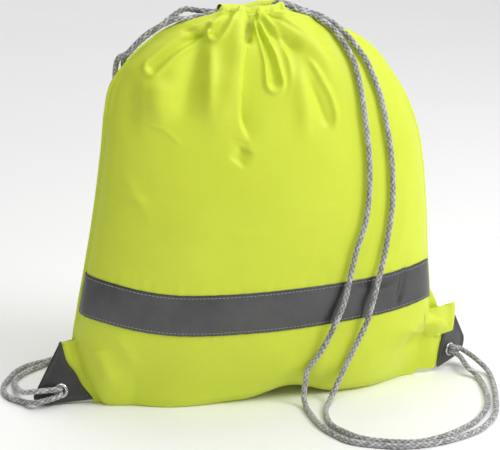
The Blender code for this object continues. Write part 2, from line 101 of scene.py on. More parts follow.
# Free stretches of the draw cords, from the neck to the corner eyelets
CORD_ROUTES = {
    "left_cord_front": [
        (-0.0332, -0.0030, 0.3335), (-0.0429, -0.0053, 0.3322), (-0.0516, -0.0049, 0.3308),
        (-0.0588, -0.0049, 0.3296), (-0.0682, -0.0050, 0.3295), (-0.0755, -0.0030, 0.3264),
        (-0.0819, -0.0010, 0.3229), (-0.0902, 0.0000, 0.3180), (-0.0960, 0.0010, 0.3133),
        (-0.1022, 0.0020, 0.3070), (-0.1075, 0.0040, 0.3010), (-0.1149, 0.0100, 0.2952),
        (-0.1165, 0.0200, 0.2810), (-0.1150, 0.0310, 0.2620), (-0.1100, 0.0410, 0.2380),
        (-0.1010, 0.0510, 0.2050), (-0.0910, 0.0590, 0.1650), (-0.0820, 0.0640, 0.1200),
        (-0.0750, 0.0670, 0.0750), (-0.0700, 0.0705, 0.0350), (-0.0690, 0.0800, 0.0095),
        (-0.0740, 0.0990, 0.0027), (-0.0890, 0.1210, 0.0026), (-0.1120, 0.1320, 0.0026),
        (-0.1370, 0.1270, 0.0026), (-0.1560, 0.1110, 0.0026), (-0.1680, 0.0965, 0.0026),
        (-0.1797, 0.0886, 0.0026), (-0.1930, 0.0819, 0.0026), (-0.2056, 0.0688, 0.0026),
        (-0.2141, 0.0500, 0.0026), (-0.2194, 0.0336, 0.0026), (-0.2198, 0.0174, 0.0026),
        (-0.2145, 0.0027, 0.0026), (-0.2045, -0.0087, 0.0030), (-0.1960, -0.0206, 0.0062),
        (-0.1845, -0.0208, 0.0080), (-0.1745, -0.0177, 0.0098),
    ],
    "left_cord_back": [
        (-0.0332, 0.0030, 0.3335), (-0.0430, 0.0040, 0.3341), (-0.0503, 0.0080, 0.3347),
        (-0.0579, 0.0110, 0.3353), (-0.0646, 0.0115, 0.3319), (-0.0715, 0.0105, 0.3273),
        (-0.0786, 0.0085, 0.3225), (-0.0867, 0.0078, 0.3173), (-0.0930, 0.0083, 0.3128),
        (-0.0997, 0.0095, 0.3065), (-0.1049, 0.0115, 0.3004), (-0.1096, 0.0145, 0.2933),
        (-0.1085, 0.0230, 0.2790), (-0.1065, 0.0315, 0.2620), (-0.1050, 0.0345, 0.2400),
        (-0.1060, 0.0380, 0.2050), (-0.1075, 0.0425, 0.1650), (-0.1090, 0.0460, 0.1200),
        (-0.1100, 0.0490, 0.0750), (-0.1100, 0.0535, 0.0350), (-0.1125, 0.0620, 0.0105),
        (-0.1210, 0.0715, 0.0032), (-0.1340, 0.0785, 0.0026), (-0.1500, 0.0830, 0.0026),
        (-0.1650, 0.0850, 0.0026), (-0.1765, 0.0840, 0.0026), (-0.1842, 0.0776, 0.0026),
        (-0.1944, 0.0687, 0.0026), (-0.2031, 0.0580, 0.0026), (-0.2092, 0.0448, 0.0028),
        (-0.2093, 0.0230, 0.0050), (-0.2057, -0.0040, 0.0105), (-0.2020, -0.0149, 0.0140),
        (-0.1930, -0.0184, 0.0155), (-0.1835, -0.0178, 0.0156), (-0.1745, -0.0165, 0.0152),
    ],
    "right_cord_front": [
        (0.0232, -0.0030, 0.3392), (0.0285, -0.0036, 0.3376), (0.0340, -0.0060, 0.3346),
        (0.0439, -0.0041, 0.3302), (0.0536, -0.0104, 0.3263), (0.0609, -0.0158, 0.3211),
        (0.0682, -0.0217, 0.3121), (0.0765, -0.0271, 0.2968), (0.0805, -0.0307, 0.2838),
        (0.0835, -0.0354, 0.2660), (0.0861, -0.0403, 0.2422), (0.0885, -0.0429, 0.2204),
        (0.0890, -0.0456, 0.1994), (0.0880, -0.0477, 0.1782), (0.0842, -0.0504, 0.1573),
        (0.0769, -0.0532, 0.1366), (0.0704, -0.0566, 0.1132), (0.0655, -0.0597, 0.0940),
        (0.0568, -0.0610, 0.0736), (0.0465, -0.0576, 0.0505), (0.0355, -0.0530, 0.0314),
        (0.0330, -0.0537, 0.0192), (0.0314, -0.0568, 0.0087), (0.0312, -0.0660, 0.0034),
        (0.0321, -0.0882, 0.0026), (0.0348, -0.1097, 0.0026), (0.0419, -0.1295, 0.0026),
        (0.0502, -0.1438, 0.0026), (0.0615, -0.1518, 0.0026), (0.0764, -0.1585, 0.0026),
        (0.0912, -0.1626, 0.0026), (0.1177, -0.1611, 0.0026), (0.1486, -0.1492, 0.0026),
        (0.1680, -0.1345, 0.0026), (0.1847, -0.1111, 0.0026), (0.1946, -0.0853, 0.0026),
        (0.2045, -0.0512, 0.0026), (0.2105, -0.0181, 0.0034), (0.2047, -0.0065, 0.0101),
        (0.1956, 0.0135, 0.0150), (0.1858, 0.0086, 0.0198),
    ],
    "right_cord_back": [
        (0.0232, 0.0030, 0.3392), (0.0290, 0.0036, 0.3378), (0.0375, 0.0035, 0.3342),
        (0.0461, 0.0020, 0.3312), (0.0555, -0.0022, 0.3280), (0.0641, -0.0090, 0.3232),
        (0.0719, -0.0151, 0.3163), (0.0780, -0.0189, 0.3097), (0.0847, -0.0216, 0.3006),
        (0.0904, -0.0237, 0.2923), (0.0959, -0.0268, 0.2786), (0.1006, -0.0296, 0.2650),
        (0.1048, -0.0334, 0.2450), (0.1093, -0.0365, 0.2179), (0.1109, -0.0392, 0.1924),
        (0.1100, -0.0415, 0.1666), (0.1044, -0.0454, 0.1344), (0.0981, -0.0510, 0.1133),
        (0.0924, -0.0542, 0.0928), (0.0863, -0.0540, 0.0710), (0.0784, -0.0529, 0.0530),
        (0.0664, -0.0503, 0.0253), (0.0602, -0.0520, 0.0128), (0.0538, -0.0590, 0.0050),
        (0.0465, -0.0751, 0.0026), (0.0431, -0.0959, 0.0026), (0.0438, -0.1095, 0.0026),
        (0.0481, -0.1199, 0.0026), (0.0579, -0.1364, 0.0026), (0.0711, -0.1470, 0.0026),
        (0.0934, -0.1549, 0.0026), (0.1093, -0.1553, 0.0026), (0.1329, -0.1461, 0.0026),
        (0.1591, -0.1275, 0.0026), (0.1751, -0.1081, 0.0026), (0.1876, -0.0839, 0.0026),
        (0.1955, -0.0519, 0.0026), (0.1980, -0.0235, 0.0030), (0.1917, -0.0135, 0.0083),
        (0.1925, 0.0110, 0.0095), (0.1852, 0.0081, 0.0146),
    ],
}

# ---- Sizes of the looks alone -----------------------------------------------------------------

# Flat bottom corners of the cloth, drawn flat in the seam plane: (height, distance from the middle)
LEFT_EAR = np.array([
    (0.002, 0.182), (0.005, 0.194), (0.012, 0.191), (0.0490, 0.171), (0.0525, 0.170), (0.0540, 0.1),
])
RIGHT_EAR = np.array([
    (0.002, 0.166), (0.004, 0.176), (0.009, 0.190), (0.014, 0.2055), (0.0225, 0.2072),
    (0.0545, 0.1872), (0.0590, 0.1815), (0.0610, 0.1690), (0.068, 0.1655), (0.080, 0.159),
])
CHANNEL_HALF_DEPTH = 0.0113
CHANNEL_OPENINGS = {"left": math.pi, "right": 0.0}  # directions in which the cords leave the neck
# How much further in, as a share, and how much lower a cord lies at the end of the neck away from its opening
CHANNEL_FAR_TUCK, CHANNEL_FAR_DIP = 0.28, 0.0009
CHANNEL_STEPS, CHANNEL_EVERY = 300, 12
# Depths at which a strand enters its eyelet's hole and ends, and its middle's distance from the hole's
HOLE_ENTRY, HOLE_END, HOLE_APART = -0.003, 0.004, 0.0015
# A strand is pressed to this share of its thickness near its end, and swells back over the next stretch
PRESSED_SHARE, PRESSED_LENGTH, SWELLING_LENGTH = 0.60, 0.007, 0.006


# ---- Camera -----------------------------------------------------------------------------------


def direction(azimuth, elevation):
    """The way from a target to something seen or lit from this azimuth and elevation."""
    flat = math.cos(elevation)
    return Vector((math.sin(azimuth) * flat, -math.cos(azimuth) * flat, math.sin(elevation)))


def add_camera():
    """The view: a little from the left and from above, with a long lens."""
    azimuth, elevation, distance = math.radians(-11), math.radians(16), 1.5
    target = Vector((-0.0048, 0, 0.148))
    data = bpy.data.cameras.new("camera")
    data.lens = 125.1
    camera = bpy.data.objects.new("camera", data)
    bpy.context.scene.collection.objects.link(camera)
    camera.location = target + direction(azimuth, elevation) * distance
    camera.rotation_euler = (math.pi / 2 - elevation, 0, azimuth)
    bpy.context.scene.camera = camera


# ---- Materials --------------------------------------------------------------------------------


class Finish:
    """A procedural material, with short names for adding and joining its nodes."""

    def __init__(self, name, **constants):
        self.material = bpy.data.materials.new(name)
        self.material.use_nodes = True
        self.tree = self.material.node_tree
        self.shader = self.tree.nodes["Principled BSDF"]
        for socket, value in constants.items():
            self.shader.inputs[socket.replace("_", " ")].default_value = value

    def add(self, kind, operation=None, **values):
        """A node of this kind. Values are set on its sockets by name, or by number after an n."""
        node = self.tree.nodes.new("ShaderNode" + kind)
        if operation:
            node.operation = operation
        for name, value in values.items():
            socket = node.inputs[int(name[1:]) if name[1:].isdigit() else name.replace("_", " ")]
            if isinstance(value, bpy.types.NodeSocket):
                self.tree.links.new(value, socket)
            else:
                socket.default_value = value
        return node

    def attribute(self, name):
        node = self.add("Attribute")
        node.attribute_name = name
        return node

    def place(self):
        return self.add("TexCoord").outputs["Object"]

    def noise(self, scale, detail=2.0, roughness=0.5):
        node = self.add("TexNoise", Vector=self.place(), Scale=scale, Detail=detail, Roughness=roughness)
        return node.outputs["Fac"]

    def ramp(self, factor, *stops):
        """A colour ramp through the stops, each a place and a colour or a grey."""
        node = self.add("ValToRGB", n0=factor)
        elements = node.color_ramp.elements
        while len(elements) < len(stops):
            elements.new(0.5)
        for element, (place, colour) in zip(elements, stops):
            element.position = place
            element.color = (*colour, 1) if isinstance(colour, tuple) else (colour, colour, colour, 1)
        return node.outputs["Color"]

    def maths(self, operation, first, second=0.0):
        return self.add("Math", operation, n0=first, n1=second).outputs[0]

    def total(self, *parts):
        """The sum of outputs, each given with its weight."""
        terms = [self.maths("MULTIPLY", output, weight) for output, weight in parts]
        return functools.reduce(lambda first, second: self.maths("ADD", first, second), terms)

    def bump(self, height, strength, distance, under=None):
        node = self.add("Bump", Height=height, Strength=strength, Distance=distance)
        if under:
            self.tree.links.new(under, node.inputs["Normal"])
        return node.outputs["Normal"]

    def use(self, socket, output):
        self.tree.links.new(output, self.shader.inputs[socket])


def weave(finish, thread):
    """Height of a plain weave with threads this far apart, in the cloth's own coordinates."""
    across = finish.add("SeparateXYZ", Vector=finish.attribute("cloth").outputs["Vector"])
    waves = [
        finish.maths("SINE", finish.maths("MULTIPLY", across.outputs[i], math.pi / thread))
        for i in (0, 1)
    ]
    return finish.maths("MULTIPLY", *waves)


def fabric_finish():
    """Thin satin polyester in a fluorescent yellow."""
    finish = Finish("hi_vis_fabric", Roughness=0.5, Sheen_Weight=0.12, Sheen_Roughness=0.4,
                    Specular_IOR_Level=0.42)
    threads = weave(finish, 0.45 * MM)
    broad = finish.noise(14.0, 3.0)
    slubs = finish.noise(900.0, 2.0, 0.6)
    tint = finish.ramp(broad, (0.3, (0.680, 0.790, 0.048)), (0.7, (0.725, 0.834, 0.055)))
    shade = finish.ramp(finish.total((threads, 0.25), (slubs, 1.0)), (0.2, 0.93), (0.8, 1.0))
    colour = finish.add("VectorMath", "MULTIPLY", n0=tint, n1=shade)
    # Painted shade: the cloth's colour is darkened down in the sharpest crease, which the lights alone leave
    # too pale.
    crease_shade = finish.ramp(finish.attribute("crease_shade").outputs["Fac"], (0.15, 1.0), (0.9, 0.60))
    colour = finish.add("VectorMath", "MULTIPLY", n0=colour.outputs[0], n1=crease_shade)
    finish.use("Base Color", colour.outputs[0])
    finish.use("Roughness", finish.ramp(slubs, (0.3, 0.44), (0.7, 0.54)))
    creased = finish.bump(finish.noise(60.0, 4.0, 0.55), 0.25, 0.4 * MM)
    finish.use("Normal", finish.bump(threads, 0.25, 0.06 * MM, creased))
    return finish.material


def thread_finish(name, colour):
    finish = Finish(name, Roughness=0.55, Sheen_Weight=0.2)
    twist = finish.noise(2500.0, 1.0)
    low, high = (tuple(part * share for part in colour) for share in (0.75, 1.1))
    finish.use("Base Color", finish.ramp(twist, (0.3, low), (0.7, high)))
    finish.use("Normal", finish.bump(twist, 0.4, 0.05 * MM))
    return finish.material


def tape_finish():
    """Grey retroreflective tape: a satin film of tiny glass beads on a fine woven back."""
    finish = Finish("reflective_tape", Metallic=1.0)
    beads = finish.add("TexVoronoi", Vector=finish.place(), Scale=2600.0).outputs["Distance"]
    threads = weave(finish, 0.6 * MM)
    worn = finish.noise(22.0, 4.0, 0.6)
    tone = finish.total((beads, 0.35), (worn, 0.7))
    finish.use("Base Color", finish.ramp(tone, (0.2, (0.070, 0.070, 0.072)), (0.8, (0.150, 0.150, 0.152))))
    finish.use("Roughness", finish.ramp(worn, (0.3, 0.32), (0.7, 0.42)))
    woven = finish.bump(threads, 0.2, 0.05 * MM)
    finish.use("Normal", finish.bump(beads, 0.12, 0.05 * MM, woven))
    return finish.material


def leatherette_finish():
    """Dark coated cloth with a fine pebbled grain, worn paler along its edges."""
    finish = Finish("corner_leatherette", Specular_IOR_Level=1.0)
    place = finish.place()
    bent = finish.add("TexNoise", Vector=place, Scale=500.0, Detail=1.0)
    mixed = finish.add("VectorMath", "MULTIPLY_ADD", n0=bent.outputs["Color"], n1=(0.0012,) * 3, n2=place)
    cells = finish.add("TexVoronoi", Vector=mixed.outputs[0], Scale=850.0)
    cells.feature = "DISTANCE_TO_EDGE"
    grain = finish.ramp(cells.outputs["Distance"], (0.0, 0.0), (0.22, 1.0))
    worn = finish.attribute("edge").outputs["Fac"]
    patches = finish.noise(120.0, 3.0)
    tone = finish.total((grain, 0.35), (worn, 0.5), (patches, 0.25))
    finish.use("Base Color", finish.ramp(tone, (0.1, (0.006, 0.006, 0.007)), (0.9, (0.034, 0.034, 0.036))))
    finish.use("Roughness", finish.ramp(patches, (0.3, 0.36), (0.7, 0.50)))
    finish.use("Normal", finish.bump(grain, 0.45, 0.12 * MM))
    return finish.material


def metal_finish():
    finish = Finish("eyelet_metal", Metallic=1.0)
    marks = finish.noise(700.0, 4.0, 0.7)
    finish.use("Base Color", finish.ramp(marks, (0.3, (0.70, 0.70, 0.72)), (0.7, (0.82, 0.82, 0.83))))
    finish.use("Roughness", finish.ramp(marks, (0.3, 0.16), (0.8, 0.34)))
    finish.use("Normal", finish.bump(marks, 0.08, 0.03 * MM))
    return finish.material


def braid_finish():
    """Pale grey polyester braid: each strand mottled, with painted shade darker down between strands."""
    finish = Finish("cord_braid", Roughness=0.62, Sheen_Weight=0.35, Sheen_Roughness=0.5)
    depth, strand = (finish.attribute(name).outputs["Fac"] for name in ("depth", "strand"))
    fibres = finish.noise(2200.0)
    mottle = finish.noise(420.0, 2.0, 0.6)
    # The relief's height darkens the colour down in the gaps between strands: painted shade.
    tone = finish.total((depth, 0.60), (strand, 0.26), (mottle, 0.26), (fibres, 0.12))
    finish.use("Base Color", finish.ramp(tone, (0.36, (0.020, 0.020, 0.021)), (0.66, (0.20, 0.20, 0.202)),
                                         (0.98, (0.62, 0.62, 0.63))))
    finish.use("Normal", finish.bump(fibres, 0.5, 0.12 * MM))
    return finish.material


def floor_finish():
    finish = Finish("floor", Roughness=0.8)
    finish.use("Base Color", finish.ramp(finish.noise(3.0), (0.3, 0.95), (0.7, 0.965)))
    return finish.material


# ---- Mesh helpers -----------------------------------------------------------------------------


def add_mesh(name, points, faces, material):
    """A smooth-shaded object from points and faces."""
    data = bpy.data.meshes.new(name)
    data.from_pydata(np.asarray(points).tolist(), [], faces if isinstance(faces, list) else faces.tolist())
    data.validate()
    data.shade_smooth()
    data.materials.append(material)
    made = bpy.data.objects.new(name, data)
    bpy.context.scene.collection.objects.link(made)
    return made


def store(piece, name, values):
    """Keeps one number, or one vector, for each point of a piece, for its material."""
    values = np.asarray(values, np.float32)
    is_vector = values.ndim == 2
    made = piece.data.attributes.new(name, "FLOAT_VECTOR" if is_vector else "FLOAT", "POINT")
    made.data.foreach_set("vector" if is_vector else "value", values.ravel())


def grid_faces(rows, across, closed=False, turned_over=False):
    """Faces between neighbouring points of a grid kept row by row."""
    columns = across if closed else across - 1
    row, column = np.meshgrid(np.arange(rows - 1), np.arange(columns), indexing="ij")
    here, above, after = row * across, (row + 1) * across, (column + 1) % across
    faces = np.stack([here + column, here + after, above + after, above + column], -1).reshape(-1, 4)
    return faces[:, ::-1] if turned_over else faces


def tube_faces(rings, sides, turned_over=False):
    """Faces of a tube made of rings of points, with its two ends filled."""
    first = list(range(sides))
    last = [(rings - 1) * sides + i for i in range(sides)]
    ends = [first, last[::-1]] if turned_over else [first[::-1], last]
    return grid_faces(rings, sides, closed=True, turned_over=turned_over).tolist() + ends


def tube_points(line, side, up, angle, reach):
    """Points round a line: at each of its places, a ring at these angles and distances."""
    away = np.cos(angle)[..., None] * side[:, None] + np.sin(angle)[..., None] * up[:, None]
    return (line[:, None] + reach[..., None] * away).reshape(-1, 3)


def ride_bag(piece, slot, *nodes):
    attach(piece, "bag")
    if nodes:
        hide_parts(*nodes)


# ---- Cords ------------------------------------------------------------------------------------


def smooth_curve(points, steps=CURVE_STEPS):
    """A dense smooth curve through points in any number of dimensions."""
    points = np.array(points, float)
    ends = np.vstack([2 * points[0] - points[1], points, 2 * points[-1] - points[-2]])
    dense = []
    for before, start, end, after in zip(ends, ends[1:], ends[2:], ends[3:]):
        for i in range(steps):
            t = i / steps
            dense.append(0.5 * (
                2 * start + (end - before) * t + (2 * before - 5 * start + 4 * end - after) * t**2
                + (3 * start - before - 3 * end + after) * t**3
            ))
    return np.array([*dense, points[-1]])


def lengths_along(points):
    return np.concatenate([[0.0], np.cumsum(np.linalg.norm(np.diff(points, axis=0), axis=1))])


def read_line(points, along, at):
    """Places on a line, given the length along it at each of its points."""
    return np.stack([np.interp(at, along, points[:, i]) for i in range(points.shape[1])], -1)


def evenly(points, spacing):
    """Points at an even spacing along a dense curve."""
    along = lengths_along(points)
    at = np.linspace(0, along[-1], max(2, round(along[-1] / spacing)) + 1)
    return read_line(points, along, at)


def frames_along(line):
    """Directions along a line, and two directions square to it that don't twist."""
    forward = np.gradient(line, axis=0)
    forward /= np.linalg.norm(forward, axis=1, keepdims=True)
    side = np.cross(forward[0], (0, 0, 1) if abs(forward[0][2]) < 0.9 else (1, 0, 0))
    sides = []
    for ahead in forward:
        side = side - ahead * (side @ ahead)
        side /= np.linalg.norm(side)
        sides.append(side)
    sides = np.array(sides)
    return forward, sides, np.cross(forward, sides)


STRANDS = 4  # strands that wind each way
BRAID_TURN = 0.0200  # length of cord in which a strand winds once round it
BRAID_SIDES = 24
BRAID_ROW = 0.00055
CORD_CORE = 0.68  # share of the radius under the lowest gaps between strands
STRAND_ROUNDING = 0.96  # how far a strand falls away from its middle to its sides, 1 being down to nothing
UNDER_HEIGHT = 0.52  # height of a strand where another passes over it
MIXING_TURN, MIXING_SCALE = 12.9898, 43758.5453  # any large, uneven numbers mix the strands' shares up


def braid_relief(angle, along):
    """Height of a round braid's surface, 0 to 1, and a mixed-up share from 0 to 1 for the strand on top."""
    turn = 2 * np.pi * along / BRAID_TURN
    first, second = ((angle + way * turn) * STRANDS / (2 * np.pi) for way in (-1, 1))
    heights = []
    for mine, other, over in ((first, second, 1), (second, first, -1)):
        middle = np.round(mine)
        round_top = np.sqrt(1 - STRAND_ROUNDING * np.clip(2 * np.abs(mine - middle), 0, 1) ** 2)
        weaving = 0.5 + 0.5 * over * np.cos(np.pi * (middle + other))
        heights.append(round_top * (UNDER_HEIGHT + (1 - UNDER_HEIGHT) * weaving))
    top = np.maximum(*heights)
    number = np.where(heights[0] > heights[1], np.round(first), np.round(second) + 0.5)
    return top, np.abs(np.sin(number * MIXING_TURN) * MIXING_SCALE) % 1


def braid(name, line, radius, material, thinned=None):
    """A braided cord round a line. thinned gives the share of its radius along it."""
    around = np.arange(BRAID_SIDES) / BRAID_SIDES * 2 * np.pi
    angle, along = np.meshgrid(around, lengths_along(line))
    height, number = braid_relief(angle, along)
    reach = radius * (CORD_CORE + (1 - CORD_CORE) * height)
    if thinned is not None:
        reach = reach * thinned[:, None]
    _, side, up = frames_along(line)
    points = tube_points(line, side, up, angle, reach)
    piece = add_mesh(name, points, tube_faces(len(line), BRAID_SIDES, turned_over=True), material)
    # The relief's height is kept for the material, which paints shade into the gaps between strands.
    store(piece, "depth", height.ravel())
    store(piece, "strand", number.ravel())
    return piece


def hole_place(eyelet, depth):
    """A point on an eyelet's axis, this far behind the seam plane."""
    return in_place(np.array([[eyelet[0], depth, eyelet[1]]]))[0]


def build_cord(name, material):
    """One free strand, from inside the neck down to its eyelet, where it narrows into the hole."""
    where, _, face = name.split("_")
    is_front = face == "front"
    turns_back = -1 if is_front == (where == "left") else 1
    turn = CHANNEL_OPENINGS[where] - CHANNEL_OPEN * turns_back
    start_x = NECK_MIDDLE + CHANNEL_HALF_WIDTH * math.cos(turn)
    start_y = CHANNEL_HALF_DEPTH * math.sin(turn)
    inside = (start_x, start_y, CORD_LEVELS[where] - rim_drop(start_x, -1 if start_y < 0 else 1))
    apart = np.array((0, 0, HOLE_APART * turns_back))
    in_hole = [hole_place(EYELETS[where], depth) + apart for depth in (HOLE_ENTRY, HOLE_END)]
    line = smooth_curve([inside, *CORD_ROUTES[name], *in_hole])
    line[:, 2] = np.maximum(line[:, 2], CORD / 2)
    line = evenly(line, BRAID_ROW)
    left = lengths_along(line)[-1] - lengths_along(line)
    swelling = np.clip((left - PRESSED_LENGTH) / SWELLING_LENGTH, 0, 1)
    thinned = PRESSED_SHARE + (1 - PRESSED_SHARE) * swelling
    piece = braid(name + "_braid", line, CORD / 2, material, thinned)
    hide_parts(name)
    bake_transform(piece)
    return line


def build_channel_cord(where, material):
    """The part of a cord inside the neck's hem. It runs round the neck from its opening, and back to it."""
    opening = CHANNEL_OPENINGS[where]
    angle = opening + np.linspace(CHANNEL_OPEN, 2 * np.pi - CHANNEL_OPEN, CHANNEL_STEPS)
    from_opening = (1 - np.cos(angle - opening)) / 2
    x = NECK_MIDDLE + CHANNEL_HALF_WIDTH * (1 - CHANNEL_FAR_TUCK * from_opening) * np.cos(angle)
    y = CHANNEL_HALF_DEPTH * np.sin(angle)
    drop = rim_drop(x, -1) * (y < 0) + rim_drop(x, 1) * (y >= 0)
    z = CORD_LEVELS[where] - drop - CHANNEL_FAR_DIP * from_opening
    line = evenly(smooth_curve(np.stack([x, y, z], -1)[::CHANNEL_EVERY]), BRAID_ROW)
    piece = braid(where + "_channel_braid", line, CORD / 2, material)
    ride_bag(piece, "cord_braid", where + "_channel_cord")


# ---- The bag's shape --------------------------------------------------------------------------


def table_value(table, at, column):
    """Reads one column of a table at each place, along a smooth curve through its rows."""
    keys, values = table[:, 0], table[:, column]
    at = np.clip(at, keys[0], keys[-1])
    low = np.clip(np.searchsorted(keys, at, side="right") - 1, 0, len(keys) - 2)
    before, after = np.maximum(low - 1, 0), np.minimum(low + 2, len(keys) - 1)
    span = keys[low + 1] - keys[low]
    start_slope = (values[low + 1] - values[before]) / (keys[low + 1] - keys[before])
    end_slope = (values[after] - values[low]) / (keys[after] - keys[low])
    t = (at - keys[low]) / span
    return (
        (2 * t**3 - 3 * t**2 + 1) * values[low] + (t**3 - 2 * t**2 + t) * span * start_slope
        + (3 * t**2 - 2 * t**3) * values[low + 1] + (t**3 - t**2) * span * end_slope
    )


def smooth_step(t):
    t = np.clip(t, 0, 1)
    return t * t * (3 - 2 * t)


def in_place(points):
    """Takes points of the flat drawing to their place: the left corner leans, the right one turns."""
    x, y, z = (np.array(points[:, i], float) for i in range(3))
    outward = np.clip((-x - LEAN_START) / (LEAN_END - LEAN_START), 0, 1)
    y = y - LEFT_LEAN * np.clip(1 - z / LEAN_HEIGHT, 0, None) * outward
    beyond = x - TURN_START
    arc = TURN_RADIUS * RIGHT_TURN
    angle = np.clip(beyond, 0, arc) / TURN_RADIUS
    run = np.maximum(0, beyond - arc)
    turned_x = TURN_START + (TURN_RADIUS - y) * np.sin(angle) + run * np.cos(angle)
    turned_y = TURN_RADIUS - (TURN_RADIUS - y) * np.cos(angle) + run * np.sin(angle)
    return np.stack([np.where(beyond > 0, turned_x, x), np.where(beyond > 0, turned_y, y), z], -1)


def arch(x, z):
    """How far the bottom is lifted at this point."""
    across = np.clip(np.abs(x - ARCH_MIDDLE) / ARCH_HALF_WIDTH, 0, 1)
    return ARCH_RISE * np.cos(across * np.pi / 2) ** 2 * np.clip(1 - z / ARCH_REACH, 0, 1)


# From the shoulders up to the gathered neck, over its rim and down inside: (step, height, left and right
# half-widths, depth, how far the side slit is open)
NECK_ROWS = np.array([
    (0, 0.3080, 0.0940, 0.0895, 0.0288, 0.0),
    (1, 0.3160, 0.0840, 0.0772, 0.0260, 0.0),
    (2, 0.3235, 0.0706, 0.0575, 0.0226, 0.0),
    (3, 0.3290, 0.0560, 0.0430, 0.0200, 0.3),
    (4, 0.3330, 0.0410, 0.0310, 0.0179, 0.8),
    (5, 0.3365, 0.0358, 0.0262, 0.0163, 1.0),
    (6, 0.3400, 0.0344, 0.0250, 0.0150, 1.0),
    (7, 0.3424, 0.0312, 0.0214, 0.0106, 1.0),
    (8, 0.3400, 0.0286, 0.0186, 0.0066, 1.0),
    (9, 0.3360, 0.0282, 0.0182, 0.0062, 1.0),
    (10, 0.3305, 0.0282, 0.0182, 0.0062, 1.0),
])
# How much lower the rim and channel lie than at the neck's right-hand end: (x, at the front, at the back)
RIM_DROPS = np.array([
    (-0.036, 0.0026, 0.0026), (-0.021, 0.0032, 0.004), (-0.013, 0.0032, 0.0046), (-0.0075, 0.0042, 0.0048),
    (-0.002, 0.0026, 0.0036), (0.006, 0.003, 0.002), (0.0086, 0.003, 0.0016), (0.014, 0.0026, 0.0016),
    (0.022, 0.0, 0.0),
])
SHOULDER = 0.316  # height where the neck's rows take over from the body's
SLIT_ANGLE = math.acos(0.92)  # at a fully open slit, a side stops at this share of its half-width
SEAM_LIP = 0.0026
LIP = 0.0012  # from the seam plane to the cloth's outer face at a seam
SECTION_STEPS, EAR_STEPS = 400, 40
EAR_CROWDING = 0.5  # below 1, an ear's steps stand closer together towards its tip
# The body eases into the flat corner on the right: fully below a height, and not at all this much higher
SOFT_BELOW, SOFT_OVER = 0.030, 0.025
SOFT_POWER = 1.5
SOFT_FROM, SOFT_RUN = 0.70, 0.25  # the part of the way across in which it does so
# At the bottom seam the edges are closed up to this share, and they open as the floor reaches out
CLOSED_SHARE, OPENING_RATE = 0.1, 10


def rim_drop(x, side):
    """How much lower the neck's rim and its channel lie here than at the right-hand end."""
    return np.interp(x, RIM_DROPS[:, 0], RIM_DROPS[:, 1 if side < 0 else 2])


def half_widths(z):
    """The filled body's half-widths at a height, left and right."""
    return [table_value(BODY_WIDTHS, z, i) for i in (1, 2)]


def section(left, right, depth, slit, ears, fullness, softness):
    """The outline of one row, from the left end to the right, as x, distance from the seam plane, and
    share of the way across. Softness eases the filled body into the flat corner on the right."""
    middle, half = (right - left) / 2, (right + left) / 2
    first = slit * SLIT_ANGLE
    angle = np.linspace(first, np.pi - first, SECTION_STEPS)
    x = middle - half * np.cos(angle)
    softened = 1 + SOFT_POWER * softness * smooth_step((angle / np.pi - SOFT_FROM) / SOFT_RUN)
    out = LIP + fullness * depth * np.sin(angle) ** softened
    share = np.linspace(0, 1, SECTION_STEPS)
    if not slit:
        steps = np.linspace(0, 1, EAR_STEPS) ** EAR_CROWDING
        left_x = -ears[0] + (ears[0] - left) * (1 - steps[::-1])
        right_x = right + (ears[1] - right) * steps
        x = np.concatenate([left_x[:-1], x, right_x[1:]])
        out = np.pad(out, EAR_STEPS - 1, constant_values=LIP)
        share = np.pad(share, EAR_STEPS - 1, "edge")
        inset = np.minimum(x - x[0], x[-1] - x)
        closing = np.sqrt(1 - (1 - np.clip(inset / LIP, 0, 1)) ** 2)
        closing *= min(1.0, CLOSED_SHARE + OPENING_RATE * fullness)
        out = GAP / 2 + (out - GAP / 2) * closing
    return np.stack([x, out, share], -1)


def corner_softness(z):
    """How far the body eases into the flat corner on the right, at this height."""
    return 1 - smooth_step((z - SOFT_BELOW) / SOFT_OVER)


def body_front(x, z):
    """How far the filled body's front stands in front of the seam plane."""
    left, right = half_widths(z)
    ears = (left + SEAM_LIP, right + SEAM_LIP)
    line = section(left, right, table_value(BODY_DEPTHS, z, 1), 0, ears, 1.0, corner_softness(z))
    return np.interp(x, line[:, 0], line[:, 1])


# Inside a corner tab, the cloth's bottom edge is hemmed up, less and less up to a height
TAB_START, TAB_EASE = 0.143, 0.006
TAB_HEM, TAB_HEM_HEIGHT = 0.0045, 0.03
# The filling has settled into a lobe at the bottom left, that swells out past the rest
LOBE_MIDDLE, LOBE_HALF_WIDTH, LOBE_HEIGHT = -0.080, 0.048, 0.036
LOBE_REACH = {-1: 0.013, 1: 0.004}
ROW_CROWDING = 1.04  # above 1, rows stand closer together towards the bottom
RIM_STEP, RIM_OVER = 4, 2  # the rim's drop starts at this step up the neck, and is whole this much later


def panel_levels(body_rows, floor_rows, neck_rows):
    """What each row of a panel is: a height, a share of the floor's depth, and a step up the neck."""
    body = SHOULDER * (np.arange(body_rows) / body_rows) ** ROW_CROWDING
    levels = [(0.0, share, 0.0) for share in np.arange(floor_rows) / floor_rows]
    levels += [(z, 1.0, 0.0) for z in body]
    levels += [(0.0, 1.0, step) for step in np.linspace(1, NECK_ROWS[-1, 0], neck_rows)]
    return levels


